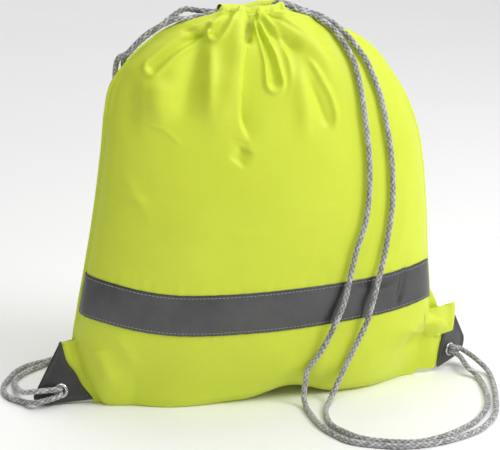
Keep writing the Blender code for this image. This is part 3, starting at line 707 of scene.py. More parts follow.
def panel_base(side, levels, across):
    """A panel before its folds: its points, the same in the flat drawing, and for each the share of the way
    across, the share of the floor's depth, and the step up the neck."""
    grid, drawn, shares, floors, necks = [], [], [], [], []
    for z, floor, step in levels:
        if step:
            z, left, right, depth, slit = (table_value(NECK_ROWS, step, i) for i in range(1, 6))
            slit = min(max(slit, 0.0), 1.0)
        else:
            left, right = half_widths(z)
            depth = table_value(BODY_DEPTHS, z, 1 if side < 0 else 2)
            slit = 0.0
        ears = [
            max(width + SEAM_LIP, np.interp(z, ear[:, 0], ear[:, 1], right=0.0))
            for width, ear in ((left, LEFT_EAR), (right, RIGHT_EAR))
        ]
        line = section(left, right, depth, slit, ears, floor, corner_softness(z))
        x, out, share = read_line(line, *even_lengths(line[:, :2], across)).T
        settled = LOBE_REACH[side] * np.exp(-(((x - LOBE_MIDDLE) / LOBE_HALF_WIDTH) ** 2))
        out += floor * settled * max(0.0, 1 - z / LOBE_HEIGHT) ** 2
        in_tab = smooth_step((np.abs(x) - TAB_START) / TAB_EASE)
        raised = arch(x, z) + TAB_HEM * in_tab * max(0.0, 1 - z / TAB_HEM_HEIGHT)
        lowered = smooth_step((step - RIM_STEP) / RIM_OVER) * rim_drop(x, side)
        flat = np.stack([x, side * out, z + raised - lowered], -1)
        drawn.append(flat)
        grid.append(in_place(flat))
        shares.append(share)
        floors.append(np.full(across, floor))
        necks.append(np.full(across, step))
    return [np.array(part) for part in (grid, drawn, shares, floors, necks)]


def even_lengths(line, count):
    """The length along a line at each of its points, and this many evenly spaced lengths along it."""
    along = lengths_along(line)
    return along, np.linspace(0, along[-1], count)


def grid_normals(grid, side):
    """Directions out of the bag at each point of a grid."""
    normals = np.cross(np.gradient(grid, axis=1), np.gradient(grid, axis=0)) * -side
    return normals / np.maximum(np.linalg.norm(normals, axis=-1, keepdims=True), 1e-12)


# ---- Folds ------------------------------------------------------------------------------------


FOLD_STEPS = 6
LEAST_FADE = 1e-3


def from_line(points, x, z):
    """Distance of each place from a smooth line, the side it lies on, and the share along the line."""
    line = smooth_curve(points, FOLD_STEPS)
    along = lengths_along(line)
    nearest, side, share = np.full(x.shape, np.inf), np.ones(x.shape), np.zeros(x.shape)
    for start, end, gone in zip(line, line[1:], along):
        run = end - start
        size = max(float(run @ run), 1e-12)
        t = np.clip(((x - start[0]) * run[0] + (z - start[1]) * run[1]) / size, 0, 1)
        gap_x, gap_z = x - start[0] - t * run[0], z - start[1] - t * run[1]
        distance = np.hypot(gap_x, gap_z)
        closer = distance < nearest
        nearest = np.where(closer, distance, nearest)
        side = np.where(closer, np.sign(run[0] * gap_z - run[1] * gap_x), side)
        share = np.where(closer, (gone + t * math.sqrt(size)) / along[-1], share)
    return nearest, side, share


def faded(share, fade_in, fade_out):
    """A fold's strength along its line, which comes and goes over these shares of its length."""
    fade_in, fade_out = max(fade_in, LEAST_FADE), max(fade_out, LEAST_FADE)
    return smooth_step(share / fade_in) * smooth_step((1 - share) / fade_out)


def ridge(points, height, width, fade_in, fade_out):
    """A raised fold, or a soft valley where height is below 0."""
    def raised(x, z):
        distance, _, share = from_line(points, x, z)
        return height * faded(share, fade_in, fade_out) * np.exp(-((distance / width) ** 2))
    return raised


def crease(points, depth, width, fade_in, fade_out):
    """A sharp valley with soft shoulders."""
    def raised(x, z):
        distance, _, share = from_line(points, x, z)
        return -depth * faded(share, fade_in, fade_out) / (1 + (distance / width) ** 2)
    return raised


def step_fold(points, drop, width, edge, fade_in, fade_out):
    """A pleat's edge: on the left of the line, as it runs, the cloth drops and then rises again."""
    def raised(x, z):
        distance, side, share = from_line(points, x, z)
        dropped = smooth_step(side * distance / edge) * np.exp(-distance / width)
        return -drop * faded(share, fade_in, fade_out) * dropped
    return raised


POCKET_END = 0.35  # share of a pocket's depth gone at its end, and of its rim there at its start


def pocket(points, depth, start, end, rim, rim_width=0.0022):
    """The tail of a fold: a hollow that widens along the line, with a raised rim round its end."""
    def raised(x, z):
        distance, _, share = from_line(points, x, z)
        half = start + (end - start) * share
        past = distance - half
        hollow = smooth_step(-past / half) * (1 - POCKET_END * share)
        raised_rim = np.exp(-((past / rim_width) ** 2)) * (POCKET_END + (1 - POCKET_END) * share)
        return rim * raised_rim - depth * hollow
    return raised


FRONT_FOLDS = [
    # The sharp crease below the middle of the neck, and the pleat that runs down from it to a curled end
    crease([(-0.0075, 0.342), (-0.0085, 0.33), (-0.01, 0.322), (-0.0105, 0.311)], 0.01, 0.002, 0.0, 0.12),
    ridge([(-0.018, 0.336), (-0.019, 0.318), (-0.022, 0.297), (-0.026, 0.272), (-0.029, 0.246)],
          0.0034, 0.0085, 0.1, 0.4),
    step_fold([(-0.012, 0.33), (-0.015, 0.314), (-0.018, 0.297), (-0.021, 0.275), (-0.022, 0.253),
               (-0.018, 0.24), (-0.013, 0.231)], 0.0068, 0.0105, 0.0014, 0.1, 0.2),
    step_fold([(-0.013, 0.23), (-0.022, 0.235), (-0.032, 0.237)], 0.0016, 0.006, 0.0014, 0.2, 0.4),
    ridge([(-0.018, 0.227), (-0.022, 0.22), (-0.025, 0.216)], -0.0038, 0.0058, 0.05, 0.05),
    # The long hollow fold right of the middle, with its two raised rims
    pocket([(-0.005, 0.338), (-0.001, 0.325), (0.003, 0.311), (0.006, 0.3), (0.0075, 0.288), (0.0085, 0.28)],
           0.0052, 0.0012, 0.007, 0.003, 0.002),
    ridge([(0.001, 0.338), (0.01, 0.324), (0.018, 0.308), (0.022, 0.292), (0.021, 0.274), (0.016, 0.262)],
          0.0022, 0.0026, 0.1, 0.5),
    # The hollow folds that run down and to the left
    pocket([(-0.044, 0.3245), (-0.058, 0.3165), (-0.077, 0.3035), (-0.0905, 0.292)], 0.0042, 0.004, 0.0056,
           0.0025, 0.0018),
    pocket([(-0.018, 0.339), (-0.027, 0.331), (-0.034, 0.3235), (-0.039, 0.32)], 0.0048, 0.0022, 0.006,
           0.0026, 0.0017),
    ridge([(-0.051, 0.324), (-0.055, 0.307), (-0.06, 0.288), (-0.066, 0.266), (-0.078, 0.24)], -0.007, 0.0095,
          0.05, 0.5),
    ridge([(-0.043, 0.316), (-0.044, 0.298), (-0.046, 0.272), (-0.047, 0.244)], 0.0036, 0.0055, 0.2, 0.5),
    ridge([(-0.034, 0.3), (-0.036, 0.28), (-0.04, 0.256), (-0.046, 0.222)], 0.003, 0.011, 0.3, 0.6),
    ridge([(-0.086, 0.288), (-0.088, 0.268), (-0.09, 0.242)], 0.0042, 0.0105, 0.3, 0.5),
    # Right of the neck
    crease([(-0.001, 0.333), (0.008, 0.321), (0.02, 0.311), (0.034, 0.301)], 0.0064, 0.005, 0.05, 0.3),
    ridge([(0.012, 0.334), (0.026, 0.322), (0.042, 0.308), (0.054, 0.292), (0.062, 0.268)],
          0.0042, 0.0075, 0.1, 0.5),
    ridge([(0.033, 0.301), (0.041, 0.293), (0.05, 0.278), (0.057, 0.264), (0.06, 0.249), (0.057, 0.236)],
          0.0026, 0.0026, 0.25, 0.2),
    crease([(0.034, 0.29), (0.041, 0.274), (0.048, 0.256), (0.054, 0.24)], 0.0028, 0.003, 0.4, 0.2),
    ridge([(0.026, 0.298), (0.031, 0.276), (0.034, 0.25), (0.034, 0.22)], 0.0034, 0.008, 0.3, 0.5),
    ridge([(0.068, 0.311), (0.087, 0.294), (0.108, 0.279)], 0.0011, 0.0026, 0.3, 0.2),
    ridge([(0.072, 0.306), (0.088, 0.288), (0.104, 0.27)], -0.0008, 0.005, 0.3, 0.3),
    ridge([(0.082, 0.29), (0.098, 0.262), (0.106, 0.228)], 0.0024, 0.0085, 0.3, 0.5),
    # Long soft slopes and small wrinkles lower down
    step_fold([(-0.1, 0.232), (-0.099, 0.255), (-0.098, 0.275), (-0.093, 0.29)],
              0.0044, 0.04, 0.013, 0.4, 0.3),
    ridge([(-0.101, 0.2475), (-0.09, 0.2455), (-0.077, 0.242)], 0.001, 0.0013, 0.3, 0.4),
    ridge([(-0.085, 0.2445), (-0.073, 0.234), (-0.066, 0.226)], 0.0008, 0.0016, 0.3, 0.5),
    ridge([(-0.119, 0.212), (-0.11, 0.192), (-0.1, 0.175), (-0.091, 0.158)], 0.0009, 0.005, 0.3, 0.5),
    ridge([(-0.134, 0.1725), (-0.12, 0.1755), (-0.108, 0.178)], 0.0006, 0.0014, 0.3, 0.4),
    ridge([(-0.128, 0.192), (-0.112, 0.186), (-0.092, 0.18)], 0.0008, 0.0028, 0.3, 0.4),
    ridge([(0.02, 0.178), (0.048, 0.172), (0.075, 0.176)], 0.0006, 0.004, 0.4, 0.4),
    ridge([(-0.05, 0.16), (-0.015, 0.155), (0.018, 0.158)], 0.0005, 0.0036, 0.4, 0.4),
    ridge([(0.13, 0.054), (0.141, 0.048), (0.154, 0.041)], 0.0014, 0.0022, 0.3, 0.2),
    ridge([(0.126, 0.036), (0.14, 0.034), (0.154, 0.03)], -0.0022, 0.0075, 0.4, 0.2),
    ridge([(0.074, 0.106), (0.088, 0.098), (0.104, 0.096), (0.124, 0.102)], 0.0013, 0.0055, 0.3, 0.4),
    ridge([(0.124, 0.118), (0.122, 0.1), (0.118, 0.078)], -0.002, 0.0034, 0.3, 0.3),
    ridge([(-0.148, 0.06), (-0.138, 0.04), (-0.128, 0.016)], 0.002, 0.006, 0.3, 0.3),
    ridge([(-0.132, 0.072), (-0.118, 0.052), (-0.108, 0.03)], 0.0012, 0.005, 0.3, 0.4),
    ridge([(0.136, 0.064), (0.126, 0.044), (0.112, 0.02)], 0.0014, 0.0065, 0.3, 0.3),
    ridge([(-0.005, 0.012), (0.012, 0.03), (0.022, 0.05)], 0.002, 0.006, 0.3, 0.5),
    ridge([(0.036, 0.014), (0.046, 0.034), (0.052, 0.056)], 0.0018, 0.007, 0.3, 0.5),
]
# Rolled edges of the cloth where it goes into the corner tabs
EAR_FOLDS = [
    ridge([(-0.17, 0.066), (-0.1665, 0.05), (-0.1625, 0.037), (-0.156, 0.026)], 0.0013, 0.0013, 0.05, 0.2),
    ridge([(-0.163, 0.066), (-0.16, 0.05), (-0.157, 0.04)], -0.001, 0.0016, 0.05, 0.3),
]
BACK_FOLDS = [
    crease([(0.004, 0.34), (0.006, 0.322), (0.01, 0.3), (0.016, 0.276)], 0.0046, 0.0034, 0.0, 0.5),
    step_fold([(-0.01, 0.338), (-0.016, 0.312), (-0.02, 0.286), (-0.03, 0.256), (-0.034, 0.226)],
              0.003, 0.012, 0.0016, 0.0, 0.5),
    pocket([(0.008, 0.337), (0.02, 0.325), (0.034, 0.31), (0.044, 0.294)], 0.0036, 0.0016, 0.007, 0.002),
    pocket([(-0.018, 0.337), (-0.034, 0.325), (-0.05, 0.308), (-0.06, 0.288)], 0.0038, 0.0016, 0.0075, 0.002),
    ridge([(-0.028, 0.326), (-0.036, 0.296), (-0.046, 0.262), (-0.056, 0.228)], 0.0038, 0.011, 0.2, 0.5),
    ridge([(0.018, 0.318), (0.024, 0.286), (0.026, 0.25), (0.022, 0.214)], 0.0036, 0.012, 0.2, 0.5),
    crease([(0.036, 0.322), (0.056, 0.304), (0.072, 0.28), (0.08, 0.25)], 0.004, 0.004, 0.1, 0.5),
    crease([(-0.05, 0.322), (-0.074, 0.304), (-0.088, 0.276), (-0.094, 0.246)], 0.0036, 0.004, 0.1, 0.5),
    ridge([(0.06, 0.3), (0.074, 0.268), (0.084, 0.23)], 0.003, 0.01, 0.3, 0.5),
    ridge([(-0.12, 0.17), (-0.08, 0.16), (-0.04, 0.166)], 0.0009, 0.004, 0.3, 0.4),
    ridge([(0.02, 0.14), (0.06, 0.132), (0.1, 0.142)], 0.0009, 0.0045, 0.3, 0.4),
    ridge([(-0.14, 0.06), (-0.126, 0.038), (-0.11, 0.016)], 0.0022, 0.006, 0.3, 0.3),
    ridge([(0.14, 0.062), (0.128, 0.04), (0.112, 0.018)], 0.0022, 0.006, 0.3, 0.3),
    ridge([(0.000, 0.012), (0.014, 0.034), (0.022, 0.058)], 0.002, 0.0065, 0.3, 0.5),
]
# Gathers round the neck, as seen from each side: (share of the way across, half-width, height)
PLEATS = {
    -1: [(0.09, 0.04, 0.9), (0.2, 0.03, -0.7), (0.36, 0.08, 1.3), (0.505, 0.022, -2.2), (0.575, 0.032, 0.9),
         (0.655, 0.02, -1.0), (0.76, 0.05, 1.0), (0.87, 0.026, -0.6), (0.94, 0.03, 0.6)],
    1: [(0.08, 0.03, 0.9), (0.16, 0.022, -1.2), (0.25, 0.04, 1.0), (0.36, 0.024, -1.6), (0.45, 0.034, 1.1),
        (0.54, 0.02, -1.2), (0.64, 0.044, 1.2), (0.76, 0.024, -1.5), (0.86, 0.036, 1.0)],
}
PLEATS_FROM, PLEATS_OVER, PLEAT_SCALE = 0.290, 0.045, 0.0014
# Puckers along the band's stitching, as waves: (length, strength, start)
PUCKERS = ((0.0093, 1.0, 0.0), (0.0147, 0.6, 1.0))
PUCKER_HEIGHT, PUCKER_REACH = 0.00016, 0.006


def waves(x, z, seed, count, shortest, longest, height):
    """Soft random undulation, the same each time for the same seed."""
    chance = np.random.default_rng(seed)
    total = np.zeros(x.shape)
    for _ in range(count):
        size = chance.uniform(shortest, longest)
        way, start = chance.uniform(0, 2 * np.pi, 2)
        total += np.cos(2 * np.pi * (x * math.cos(way) + z * math.sin(way)) / size + start) * size / longest
    return height * total / math.sqrt(count)


def pleats(side, share, z):
    """Gathers that start at the neck and open out and fade down the bag."""
    strength = smooth_step((z - PLEATS_FROM) / PLEATS_OVER)
    total = np.zeros(share.shape)
    for place, half_width, height in PLEATS[side]:
        total += height * np.exp(-(((share - place) / half_width) ** 2))
    return PLEAT_SCALE * strength * total


def puckers(x, z):
    """Small gathers that the band's stitching draws into the cloth above and below it."""
    off = np.abs(np.abs(z - table_value(BAND_LINE, x, 1)) - BAND_WIDTH / 2)
    ripple = sum(strength * np.cos(2 * np.pi * x / length + start) for length, strength, start in PUCKERS)
    return PUCKER_HEIGHT * ripple * np.exp(-((off / PUCKER_REACH) ** 2))


# Folds die away towards a side seam over a share of the way across, and towards the bottom over a height
SEAM_FADE, BOTTOM_FADE = 0.055, 0.012
FLOOR_GAIN = 1.4  # across the floor, folds grow from 1 - 1 / FLOOR_GAIN of its depth to all of it
# At the neck, folds run to the seams from one step to the next, and lose most of their height over the rim
OPEN_STEP, OPEN_OVER = 3.0, 2.0
OVER_RIM_STEP, OVER_RIM_OVER, OVER_RIM_LOSS = 6.0, 1.5, 0.65
# Steps up the neck, and how far the cloth may sink in at each
DEEPEST_BY_STEP = ((2.0, 3.0, 4.0, 5.0, 6.0, 6.5), (-0.0090, -0.0052, -0.0034, -0.0016, -0.0004, 0.0004))


def fold_height(side, grid, share, floor, neck):
    """How far each point of a panel stands off the plain shape."""
    x, z = grid[..., 0], grid[..., 2]
    total = sum(fold(x, z) for fold in (FRONT_FOLDS if side < 0 else BACK_FOLDS))
    total += waves(x, z, seed=11 + side, count=9, shortest=0.055, longest=0.15, height=0.0009)
    total += waves(x, z, seed=21 + side, count=26, shortest=0.010, longest=0.032, height=0.00010)
    total += pleats(side, share, z)
    ear_rolls = 0.0
    if side < 0:
        total += puckers(x, z)
        ear_rolls = sum(fold(x, z) for fold in EAR_FOLDS)
    shown = smooth_step(np.minimum(share, 1 - share) / SEAM_FADE)
    shown *= smooth_step(floor * FLOOR_GAIN - (FLOOR_GAIN - 1)) * smooth_step(z / BOTTOM_FADE)
    opened = smooth_step((neck - OPEN_STEP) / OPEN_OVER)
    over_rim = 1 - OVER_RIM_LOSS * smooth_step((neck - OVER_RIM_STEP) / OVER_RIM_OVER)
    # The creases run on up to the rim, but no deeper than the cords in the channel allow.
    total = np.maximum(total, np.interp(neck, *DEEPEST_BY_STEP))
    return total * (shown * (1 - opened) + opened * over_rim) + ear_rolls * (1 - opened)


def smoothed(grid, rounds):
    """Evens out a grid, keeping its edges."""
    for _ in range(rounds):
        middle = (grid[:-2, 1:-1] + grid[2:, 1:-1] + grid[1:-1, :-2] + grid[1:-1, 2:]) / 4
        grid[1:-1, 1:-1] += (middle - grid[1:-1, 1:-1]) / 2
    return grid


def cord_tree(lines):
    """The cords' lines as one array of points, and a tree that finds the nearest of them."""
    cords = np.concatenate(lines)
    tree = kdtree.KDTree(len(cords))
    for i, point in enumerate(cords):
        tree.insert(point, i)
    tree.balance()
    return cords, tree


# Between the band and the gathers, raised folds this near a cord are flattened: fully, and not at all
FLAT_UNDER, FREE_BEYOND = 0.009, 0.020
FLAT_FROM, FLAT_TO, FLAT_EASE = 0.118, 0.330, 0.012
SETTLED = -0.0006  # cloth under a cord lies this much lower than the plain shape
LINE_EVERY = 3  # the cloth is fitted to one place in so many of each cord's
PRESS_CLEAR = 0.0003  # room left between a cord and the cloth under it
# Cloth is looked at only within a margin of the cord's reach, from one in so many of the cord's points
PRESS_EVERY, PRESS_MARGIN = 8, 0.008


def flat_under_cords(grid, height, lines):
    """Takes raised folds down near the cords that lie on the cloth, so that no cord sinks into one."""
    _, tree = cord_tree(lines)
    z = grid[..., 2]
    flat = np.zeros(height.shape)
    for row, column in np.argwhere((z > FLAT_FROM) & (z < FLAT_TO)):
        distance = tree.find(grid[row, column])[2]
        if distance < FREE_BEYOND:
            flat[row, column] = (FREE_BEYOND - distance) / (FREE_BEYOND - FLAT_UNDER)
    ends = smooth_step((z - FLAT_FROM) / FLAT_EASE) * smooth_step((FLAT_TO - z) / FLAT_EASE)
    flat = smooth_step(flat) * ends
    return height * (1 - flat) + np.minimum(height, SETTLED) * flat


def press_under(points, lines, reach):
    """Pushes cloth away from the cords that lie on it."""
    cords, tree = cord_tree(lines)
    nearby = np.zeros(len(points), bool)
    for point in cords[::PRESS_EVERY]:
        nearby |= np.abs(points - point).max(1) < reach + PRESS_MARGIN
    moved = points.copy()
    for i in np.flatnonzero(nearby):
        near, _, distance = tree.find(points[i])
        if distance < reach:
            moved[i] += np.array((Vector(points[i]) - near).normalized() * (reach - distance))
    return moved


def eyelet_clear(drawn):
    """Which points of a panel lie clear of the holes that are punched for the eyelets."""
    clear = np.ones(drawn.shape[:2], bool)
    for x, z in EYELETS.values():
        clear &= np.hypot(drawn[..., 0] - x, drawn[..., 2] - z) > EYELET_BARREL + GAP
    return clear.ravel()


# The cloth's top corner on the right folds forward over the tab: places on the fold's left and right
# edges, from its top to its bottom, in the flat drawing. The left edge, (x, height), lies on the body. The
# right one gives (x, distance in front of the seam plane, height).
FLAP_LEFT = [(0.1490, 0.0635), (0.1495, 0.0540), (0.1510, 0.0430), (0.1590, 0.0345)]
FLAP_RIGHT = [
    (0.1790, 0.0036, 0.0648), (0.1832, 0.0038, 0.0638), (0.1855, 0.0042, 0.0600), (0.1858, 0.0046, 0.0540),
    (0.1846, 0.0046, 0.0450), (0.1832, 0.0046, 0.0375),
]
TAB_EDGE = 0.1615  # just left of the tab's near edge
FLAP_CLEAR = 0.0044  # from the seam plane to the lowest place where the cloth clears the tab's leaf
FLAP_BEHIND = 0.0062  # from the seam plane to the cloth behind the crease, which clears the tab's leaf
FLAP_ROWS, FLAP_ACROSS = 48, 56
FLAP_STEP = 0.0001
FLAP_TUCK = 0.0004  # the left edge lies this far inside the body's face
# The crease crosses the fold's top at one share of the way across, and its bottom this much further right
CREASE_START, CREASE_RUN = 0.06, 0.78
CREST_TOP, CREST_FALL, CREST_WIDTH = 0.0082, 0.0008, 0.045
SWELL_POWER = 0.8
TAB_EASE_UP = 0.004  # the cloth reaches its clear height over this much beyond the tab's edge
# The rounded rim: its height, its place and width as shares of the way across, and where it starts to grow
RIM_HEIGHT, RIM_PLACE, RIM_WIDTH, RIM_GROWS = 0.0024, 0.90, 0.13, 0.1


def ear_flap():
    """The fold over the right tab, as a grid: cloth that lies over the tab's edge up to a slanting crease,
    then rises to a rounded rim."""
    on_body = [(x, body_front(x, z) - FLAP_TUCK, z) for x, z in FLAP_LEFT]
    edges = [evenly(smooth_curve(edge), FLAP_STEP) for edge in (on_body, FLAP_RIGHT)]
    left, right = (edge[np.linspace(0, len(edge) - 1, FLAP_ROWS).round().astype(int)] for edge in edges)
    across = np.linspace(0, 1, FLAP_ACROSS)[None, :]
    down = np.linspace(0, 1, FLAP_ROWS)[:, None]
    grid = left[:, None] * (1 - across[..., None]) + right[:, None] * across[..., None]
    crease_at = CREASE_START + CREASE_RUN * down
    past = across - crease_at
    from_body = left[:, None, 1]
    crest = CREST_TOP - CREST_FALL * down
    swell = from_body + (crest - from_body) * np.clip(across / crease_at, 0, 1) ** SWELL_POWER
    swell = np.maximum(swell, FLAP_CLEAR * smooth_step((grid[..., 0] - TAB_EDGE) / TAB_EASE_UP))
    behind = FLAP_BEHIND + (crest - FLAP_BEHIND) * np.exp(-((past / CREST_WIDTH) ** 2))
    rim = RIM_HEIGHT * np.exp(-(((across - RIM_PLACE) / RIM_WIDTH) ** 2)) * smooth_step(past / RIM_GROWS)
    grid[..., 1] = -(np.where(past < 0, swell, behind) + rim)
    return in_place(grid.reshape(-1, 3))


BODY_ROWS, FLOOR_ROWS, NECK_GRID_ROWS, ACROSS = 236, 12, 70, 300
FLOOR_CLEAR = 0.0002  # the cloth comes no closer to the floor
# The crease's painted shade ends this high, fades over a height, and is full where the crease is this deep
SHADE_TOP, SHADE_EASE, SHADE_DEPTH = 0.336, 0.010, 0.007


def lengths_over(grid, axis):
    """The length of cloth up to each point of a grid, along one of its directions."""
    steps = np.linalg.norm(np.diff(grid, axis=axis), axis=-1)
    return np.insert(np.cumsum(steps, axis=axis), 0, 0.0, axis=axis)


def build_panel(where, side, lines, material):
    levels = panel_levels(BODY_ROWS, FLOOR_ROWS, NECK_GRID_ROWS)
    grid, drawn, share, floor, neck = panel_base(side, levels, ACROSS)
    height = flat_under_cords(grid, fold_height(side, grid, share, floor, neck), lines)
    grid = smoothed(grid + grid_normals(grid, side) * height[..., None], rounds=2)
    grid[..., 2] = np.maximum(grid[..., 2], FLOOR_CLEAR)
    points = press_under(grid.reshape(-1, 3), lines, CORD / 2 + PRESS_CLEAR)
    faces = grid_faces(len(grid), ACROSS, turned_over=side > 0)
    faces = faces[eyelet_clear(drawn)[faces].all(1)]
    over, up = lengths_over(grid, 1), lengths_over(grid, 0)
    cloth = np.stack([over, up, 0 * up], -1).reshape(-1, 3)
    if side < 0:
        flap = ear_flap()
        faces = np.concatenate([faces, grid_faces(FLAP_ROWS, FLAP_ACROSS, turned_over=True) + len(points)])
        points = np.concatenate([points, flap])
        cloth = np.concatenate([cloth, flap])
    # Painted shade: a mask of the sharpest crease, kept on the cloth so that its material darkens the colour
    # there
    sharpest = (FRONT_FOLDS if side < 0 else BACK_FOLDS)[0]
    shade_share = np.clip(-sharpest(drawn[..., 0], drawn[..., 2]) / SHADE_DEPTH, 0, 1)
    crease_shade = (shade_share * smooth_step((SHADE_TOP - drawn[..., 2]) / SHADE_EASE)).ravel()
    piece = add_mesh(where + "_panel_cloth", points, faces, material)
    store(piece, "cloth", cloth)
    store(piece, "crease_shade", np.concatenate([crease_shade, np.zeros(len(points) - len(crease_shade))]))
    ride_bag(piece, "hi_vis_fabric", where + "_panel", where + "_neck_hem")


# ---- Reflective band --------------------------------------------------------------------------


BAND_UNDER, BAND_OVER = 0.0003, 0.0010  # from the cloth to the band's inner and outer faces
BAND_STEPS = np.linspace(-0.985, 0.985, 320)  # places along the band, as shares of its reach
BAND_SHARES = np.array([-0.5, -0.495, -0.485, *np.linspace(-0.46, 0.46, 18), 0.485, 0.495, 0.5])
SLOPE_STEP = 0.001
LEAST_BULGE = 0.0004  # keeps the smooth front's slope finite at the band's ends
STITCH_SHARE = 0.43  # place of each stitched line across the band, from its middle
SEAM_STEPS = np.linspace(-0.975, 0.975, 400)  # places along its stitched lines, in the same way
# The band is pressed in under its stitches, and its edges are rounded: depth, and width as a share of its own
PRESS_DEPTH, PRESS_WIDTH = 0.00022, 0.02
ROUND_DEPTH, ROUND_WIDTH = 0.0004, 0.015


def band_grid(lift, shares, along):
    """Points of the band, or of lines along it: shares run across its width from -0.5 to 0.5."""
    across = (np.asarray(along) + 1) / 2
    angle = across * np.pi
    grid = []
    for share in shares:
        z = table_value(BAND_LINE, along * BAND_REACH, 1) + share * BAND_WIDTH
        left, right = half_widths(z)
        x = (right - left) / 2 - (right + left) / 2 * np.cos(angle)
        out = LIP + table_value(BODY_DEPTHS, z, 1) * np.sin(angle)
        grid.append(np.stack([x, -out, z], -1))
    grid = np.array(grid)
    ones = np.ones(grid.shape[:2])
    height = fold_height(-1, grid, across * ones, ones, 0 * ones) + lift
    # A line of few rows has no normal of its own across the band, so the smooth shape's is used.
    normals = section_normals(grid)
    placed = in_place((grid + normals * height[..., None]).reshape(-1, 3))
    return placed.reshape(grid.shape), normals


def section_normals(grid):
    """Directions out of the smooth front at points that lie on it."""
    x, z = grid[..., 0], grid[..., 2]
    slope_x = front_depth(x + SLOPE_STEP, z) - front_depth(x - SLOPE_STEP, z)
    slope_z = front_depth(x, z + SLOPE_STEP) - front_depth(x, z - SLOPE_STEP)
    normals = np.stack([-slope_x, np.full(x.shape, -2 * SLOPE_STEP), -slope_z], -1)
    return normals / np.linalg.norm(normals, axis=-1, keepdims=True)


def front_depth(x, z):
    """How far the smooth front stands in front of the seam plane."""
    left, right = half_widths(z)
    across = (x - (right - left) / 2) / ((right + left) / 2)
    return table_value(BODY_DEPTHS, z, 1) * np.sqrt(np.clip(1 - across * across, LEAST_BULGE, 1))


def build_band(material):
    """The band as a closed sheet with slightly pressed, rounded edges."""
    pressed = PRESS_DEPTH * np.exp(-(((np.abs(BAND_SHARES) - STITCH_SHARE) / PRESS_WIDTH) ** 2))
    rounded = ROUND_DEPTH * np.clip(1 - (0.5 - np.abs(BAND_SHARES)) / ROUND_WIDTH, 0, 1) ** 2
    outer, _ = band_grid((BAND_OVER - pressed - rounded)[:, None], BAND_SHARES, BAND_STEPS)
    inner, _ = band_grid(BAND_UNDER, BAND_SHARES[[0, -1]], BAND_STEPS)
    rows, across = len(BAND_SHARES) + 2, len(BAND_STEPS)
    points = np.concatenate([inner[:1], outer, inner[1:]]).reshape(-1, 3)
    piece = add_mesh("reflective_band_tape", points, grid_faces(rows, across), material)
    over = np.broadcast_to(lengths_along(outer[len(outer) // 2]), (rows, across))
    up = np.broadcast_to(np.pad(BAND_SHARES, 1, "edge")[:, None] * BAND_WIDTH, (rows, across))
    store(piece, "cloth", np.stack([over, up, 0 * over], -1).reshape(-1, 3))
    ride_bag(piece, "reflective_tape", "reflective_band")


# ---- Stitches ---------------------------------------------------------------------------------


STITCH_LENGTH, STITCH_GAP, STITCH_RADIUS = 0.0024, 0.0009, 0.00028
STITCH_BOW = 0.00022  # height of a stitch's middle over its ends
STITCH_END = 0.45  # share of its thickness that a stitch has at its ends
STITCH_SIDES, STITCH_RINGS = 6, 5


def stitches(name, lines, material, slot):
    """Rows of short thread stitches along lines. Each line is its points and their outward normals."""
    points, faces = [], []
    bow = np.sin(np.linspace(0, np.pi, STITCH_RINGS))
    thick = STITCH_RADIUS * (STITCH_END + (1 - STITCH_END) * bow)
    angle = 2 * np.pi * np.arange(STITCH_SIDES) / STITCH_SIDES
    for line, normals in lines:
        along = lengths_along(line)
        for start in np.arange(int(along[-1] / (STITCH_LENGTH + STITCH_GAP))) * (STITCH_LENGTH + STITCH_GAP):
            at = start + STITCH_GAP / 2 + np.linspace(0, STITCH_LENGTH, STITCH_RINGS)
            centre, normal = (read_line(values, along, at) for values in (line, normals))
            forward = (centre[-1] - centre[0]) / np.linalg.norm(centre[-1] - centre[0])
            centre = centre + normal * (bow * STITCH_BOW)[:, None]
            faces += [[len(points) + i for i in face] for face in tube_faces(STITCH_RINGS, STITCH_SIDES)]
            points.extend(tube_points(centre, np.cross(forward, normal), normal, angle, thick[:, None]))
    ride_bag(add_mesh(name, points, faces, material), slot)


# ---- Corners ----------------------------------------------------------------------------------


BLUNT = math.radians(125)  # corners wider than this are rounded more
BLUNT_ROUNDING = 4
MOST_CUT = 0.45  # share of a side that one corner's rounding may take
ROUNDING_STEPS = 8


def rounded_outline(corners, radius, spacing):
    """A closed outline through the corners, each rounded, as evenly spaced points."""
    corners = [Vector(corner) for corner in corners]
    points = []
    for before, corner, after in zip(corners[-1:] + corners[:-1], corners, corners[1:] + corners[:1]):
        into, out = (before - corner), (after - corner)
        wide = radius * (BLUNT_ROUNDING if into.angle(out) > BLUNT else 1)
        cut = min(wide, MOST_CUT * into.length, MOST_CUT * out.length)
        start, end = corner + into.normalized() * cut, corner + out.normalized() * cut
        for i in range(ROUNDING_STEPS + 1):
            t = i / ROUNDING_STEPS
            points.append((1 - t) ** 2 * start + 2 * t * (1 - t) * corner + t**2 * end)
    line = np.array([*points, points[0]])
    return evenly(line, spacing)[:-1]


def inward(outline, distance):
    """An outline moved towards its inside."""
    forward = np.roll(outline, -1, axis=0) - np.roll(outline, 1, axis=0)
    forward /= np.linalg.norm(forward, axis=1, keepdims=True)
    area = np.sum(outline[:, 0] * np.roll(outline[:, 1], -1) - np.roll(outline[:, 0], -1) * outline[:, 1])
    normal = np.stack([-forward[:, 1], forward[:, 0]], -1) * np.sign(area)
    return outline + normal * distance


def circle(centre, radius, count):
    angle = np.arange(count) / count * 2 * np.pi
    return np.stack([centre[0] + radius * np.cos(angle), centre[1] + radius * np.sin(angle)], -1)


def distance_to(outline, places):
    """Distance from each place to a closed outline."""
    nearest = np.full(len(places), np.inf)
    for start, end in zip(outline, np.roll(outline, -1, axis=0)):
        run = end - start
        t = np.clip(((places - start) @ run) / max(run @ run, 1e-12), 0, 1)
        nearest = np.minimum(nearest, np.linalg.norm(places - start - t[:, None] * run, axis=1))
    return nearest


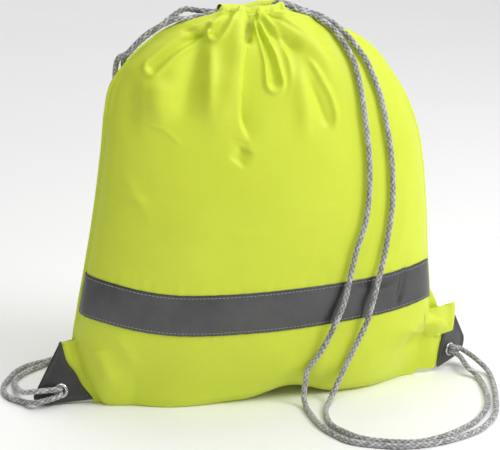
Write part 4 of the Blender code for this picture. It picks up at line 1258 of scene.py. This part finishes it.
def is_inside(outline, place):
    crossed = False
    for (x1, z1), (x2, z2) in zip(outline, np.roll(outline, -1, axis=0)):
        if (z1 > place[1]) != (z2 > place[1]) and place[0] < (x2 - x1) * (place[1] - z1) / (z2 - z1) + x1:
            crossed = not crossed
    return crossed


STITCH_INSET = 0.0026
LEAF_CORNER, LEAF_SPACING = 0.0022, 0.0009  # rounding of a leaf's corners, and spacing of points round it
LEAF_RINGS = (0.00015, 0.0004, 0.0008, 0.0015)  # distances from the edge at which points lie in rings
LEAF_INNER, LEAF_STEP = 0.0022, 0.0012  # the points further in than this lie on a grid
HOLE_POINTS, HOLE_CLEAR = 28, 0.0009
# A leaf's edge is rounded off, and a groove is pressed in under its stitches: depth and width
EDGE_DEPTH, EDGE_WIDTH = 0.0006, 0.0009
GROOVE_DEPTH, GROOVE_WIDTH = 0.00030, 0.0006
# Its face buckles softly, in waves across and up it, but not near its edge or its eyelet
BUCKLE, BUCKLE_ACROSS, BUCKLE_UP, BUCKLE_EDGE, BUCKLE_HOLE = 0.0004, 190, 170, 0.006, 0.008
WORN_WIDTH = 0.0008
STITCH_SINK = 0.0002
LEAF_SHARP, METAL_SHARP = math.radians(60), math.radians(50)


def leaf_face(outline, centre):
    """A flat drawing of a leaf as points and triangles, with its eyelet hole, and each point's distance
    from the edge."""
    hole = circle(centre, EYELET_BARREL + GAP / 2, HOLE_POINTS)
    rings = [outline] + [inward(outline, distance) for distance in LEAF_RINGS]
    clear = inward(outline, LEAF_INNER)
    columns, rows = (np.arange(*ends, LEAF_STEP) for ends in zip(outline.min(0), outline.max(0)))
    inner = [
        (x, z) for x in columns for z in rows
        if is_inside(clear, (x, z)) and math.dist((x, z), centre) > EYELET_BARREL + HOLE_CLEAR
    ]
    points = np.concatenate([*rings, hole, np.array(inner)])
    count, first = len(outline), len(outline) * len(rings)
    loops = [list(range(count)), list(range(first, first + HOLE_POINTS))]
    edges = [edge for loop in loops for edge in zip(loop, loop[1:] + loop[:1])]
    placed, _, triangles, *_ = delaunay_2d_cdt([Vector(point) for point in points], edges, [], 1, 1e-7)
    placed = np.array(placed)
    kept = []
    for triangle in triangles:
        middle = placed[list(triangle)].mean(0)
        if math.dist(middle, centre) > EYELET_BARREL and is_inside(outline, middle):
            kept.append(list(triangle))
    return placed, kept, distance_to(outline, placed)


def at_depth(drawing, depth):
    """Places of a flat drawing's points, this far behind the seam plane."""
    return in_place(np.stack([drawing[:, 0], np.full(len(drawing), depth), drawing[:, 1]], -1))


def build_leaf(where, face, side, material):
    """One leaf of a corner tab, with a rounded edge and a groove under its stitches. Gives their line."""
    way = -1 if where == "left" else 1
    eyelet = EYELETS[where]
    outline = rounded_outline([(way * x, z) for x, z in TABS[where]], LEAF_CORNER, LEAF_SPACING)
    placed, triangles, inset = leaf_face(outline, eyelet)
    rounded = EDGE_DEPTH * (1 - np.sqrt(1 - np.clip(1 - inset / EDGE_WIDTH, 0, 1) ** 2))
    pressed = GROOVE_DEPTH * np.exp(-(((inset - STITCH_INSET) / GROOVE_WIDTH) ** 2))
    soft = BUCKLE * np.sin(placed[:, 0] * BUCKLE_ACROSS) * np.sin(placed[:, 1] * BUCKLE_UP + 1)
    near_eyelet = np.exp(-((np.linalg.norm(placed - np.array(eyelet), axis=1) / BUCKLE_HOLE) ** 4))
    soft *= smooth_step(inset / BUCKLE_EDGE) * (1 - near_eyelet)
    outer = at_depth(placed, side * (LEAF_NEAR + LEATHERETTE - rounded - pressed + soft))
    under = at_depth(placed, side * LEAF_NEAR)
    count = len(placed)
    loops = (zip(triangle, triangle[1:] + triangle[:1]) for triangle in triangles)
    used = dict.fromkeys(edge for loop in loops for edge in loop)
    faces = triangles + [[i + count for i in reversed(triangle)] for triangle in triangles]
    faces += [[b, a, a + count, b + count] for a, b in used if (b, a) not in used]
    if side > 0:
        faces = [corners[::-1] for corners in faces]
    name = f"{where}_tab_{face}"
    piece = add_mesh(name + "_leaf", np.concatenate([outer, under]), faces, material)
    piece.data.set_sharp_from_angle(angle=LEAF_SHARP)
    store(piece, "edge", np.tile(np.exp(-((inset / WORN_WIDTH) ** 2)), 2))
    ride_bag(piece, "corner_leatherette", name)
    path = inward(outline, STITCH_INSET)
    path = np.concatenate([path, path[:1]])
    level = side * (LEAF_NEAR + LEATHERETTE - STITCH_SINK)
    line, ahead = at_depth(path, level), at_depth(path, level + side * MM)
    return line, (ahead - line) / MM


RING_SIDES = 56
FLANGE_STEPS, WASHER_STEPS = 14, 12
ROLL_POWER = 0.8  # below 1, a rolled rim is fuller than half an ellipse
ROLL_RISE = 1.25  # height of the eyelet's roll, in flanges
SEAT = 0.0001  # how much nearer to the leaf the flange's flat under-side lies than its roll's edge


def build_ring(name, node, profile, centre, material):
    """A turned ring about an eyelet's axis: its closed profile is (radius, Y) in the flat drawing."""
    points = np.concatenate([at_depth(circle(centre, radius, RING_SIDES), y) for radius, y in profile])
    faces = grid_faces(len(profile) + 1, RING_SIDES, closed=True) % len(points)
    piece = add_mesh(name, points, faces, material)
    piece.data.set_sharp_from_angle(angle=METAL_SHARP)
    ride_bag(piece, "eyelet_metal", node)


def rolled(inner, level, rise, steps):
    """The profile of a rolled rim, from a ring's inner edge over its top to the flange's edge."""
    width = EYELET_FLANGE - inner
    return [
        (inner + width * (0.5 - 0.5 * math.cos(a)), level + rise * math.sin(a) ** ROLL_POWER)
        for a in np.linspace(0, math.pi, steps)
    ]


def build_eyelet(where, material):
    """The eyelet with its rolled flange, and the washer clenched on the far side."""
    eyelet = EYELETS[where]
    face = LEAF_NEAR + LEATHERETTE
    profile = [
        *rolled(EYELET_HOLE, -face - GAP, -FLANGE * ROLL_RISE, FLANGE_STEPS),
        (EYELET_FLANGE, -face - GAP + SEAT), (EYELET_BARREL, -face - GAP + SEAT),
        (EYELET_BARREL, face), (EYELET_HOLE, face),
    ]
    build_ring(where + "_eyelet_ring", where + "_eyelet", profile, eyelet, material)
    washer = rolled(EYELET_HOLE + GAP, face + GAP, FLANGE, WASHER_STEPS)[::-1]
    build_ring(where + "_washer_ring", where + "_eyelet_washer", washer, eyelet, material)


KNOT_STEPS = 260
KNOT_SIZE, KNOT_CORD = 0.00150, 0.0023  # scale of the knot's loops, and radius of its cord
KNOT_DEPTH, KNOT_WAVE = 0.0112, 0.0030  # how far behind the seam plane it is, and how far its loops weave


def build_knot(where, material):
    """The cord's ends tied in a knot behind the eyelet, too big to pass it."""
    x, z = EYELETS[where]
    t = np.linspace(0, 2 * np.pi, KNOT_STEPS)
    line = in_place(np.stack([
        x + KNOT_SIZE * (np.sin(t) + 2 * np.sin(2 * t)),
        KNOT_DEPTH + KNOT_WAVE * np.sin(3 * t),
        z + KNOT_SIZE * (np.cos(t) - 2 * np.cos(2 * t)),
    ], -1))
    piece = braid(where + "_knot_braid", line, KNOT_CORD, material)
    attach(piece, where + "_cord_end")
    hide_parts(where + "_cord_knot")
    return piece


# ---- Surroundings -----------------------------------------------------------------------------


LIGHT_TARGET = Vector((0, 0, 0.15))
# Soft square lights: azimuth, elevation, distance from the target, size and power
LIGHTS = {
    "key_light": (52, 40, 1.7, 0.7, 14.8),
    "side_light": (96, 16, 1.9, 1.4, 4),
    "top_light": (15, 66, 1.8, 0.9, 8),
    "back_light": (180, 55, 4.2, 4.5, 92),
}
WORLD_STRENGTH = 0.285
FLOOR_HALF = 8.0


def add_light(name, azimuth, elevation, distance, size, power):
    """A soft square light, aimed at the bag."""
    data = bpy.data.lights.new(name, "AREA")
    data.size = size
    data.energy = power
    light = bpy.data.objects.new(name, data)
    bpy.context.scene.collection.objects.link(light)
    away = direction(math.radians(azimuth), math.radians(elevation))
    light.location = LIGHT_TARGET + away * distance
    light.rotation_euler = away.to_track_quat("Z", "Y").to_euler()


def add_surroundings():
    corners = [(x * FLOOR_HALF, y * FLOOR_HALF, 0) for x, y in ((-1, -1), (1, -1), (1, 1), (-1, 1))]
    add_mesh("floor", corners, [[0, 1, 2, 3]], floor_finish())
    for name, values in LIGHTS.items():
        add_light(name, *values)
    world = bpy.data.worlds.new("studio")
    world.use_nodes = True
    background = world.node_tree.nodes["Background"]
    background.inputs["Color"].default_value = (1, 1, 1, 1)
    background.inputs["Strength"].default_value = WORLD_STRENGTH
    bpy.context.scene.world = world
    bpy.context.scene.view_settings.view_transform = "Standard"


# ---- Everything in order ----------------------------------------------------------------------


def main():
    add_camera()
    cord_material = braid_finish()
    knots = {where: build_knot(where, cord_material) for where in EYELETS}
    lines = [build_cord(name, cord_material)[::LINE_EVERY] for name in CORD_ROUTES]
    for where in EYELETS:
        build_channel_cord(where, cord_material)
    fabric = fabric_finish()
    for where, side in SIDES:
        build_panel(where, side, lines, fabric)
    build_band(tape_finish())
    tape_thread = thread_finish("tape_thread", (0.36, 0.36, 0.37))
    seams = [band_grid(BAND_OVER, [share], SEAM_STEPS) for share in (-STITCH_SHARE, STITCH_SHARE)]
    seams = [(points[0], normals[0]) for points, normals in seams]
    stitches("band_stitching", seams, tape_thread, "reflective_tape")
    leatherette = leatherette_finish()
    tab_thread = thread_finish("tab_thread", (0.10, 0.10, 0.105))
    metal = metal_finish()
    for where in EYELETS:
        seams = [build_leaf(where, face, side, leatherette) for face, side in SIDES]
        stitches(where + "_tab_stitching", seams, tab_thread, "corner_leatherette")
        build_eyelet(where, metal)
    add_surroundings()


main()
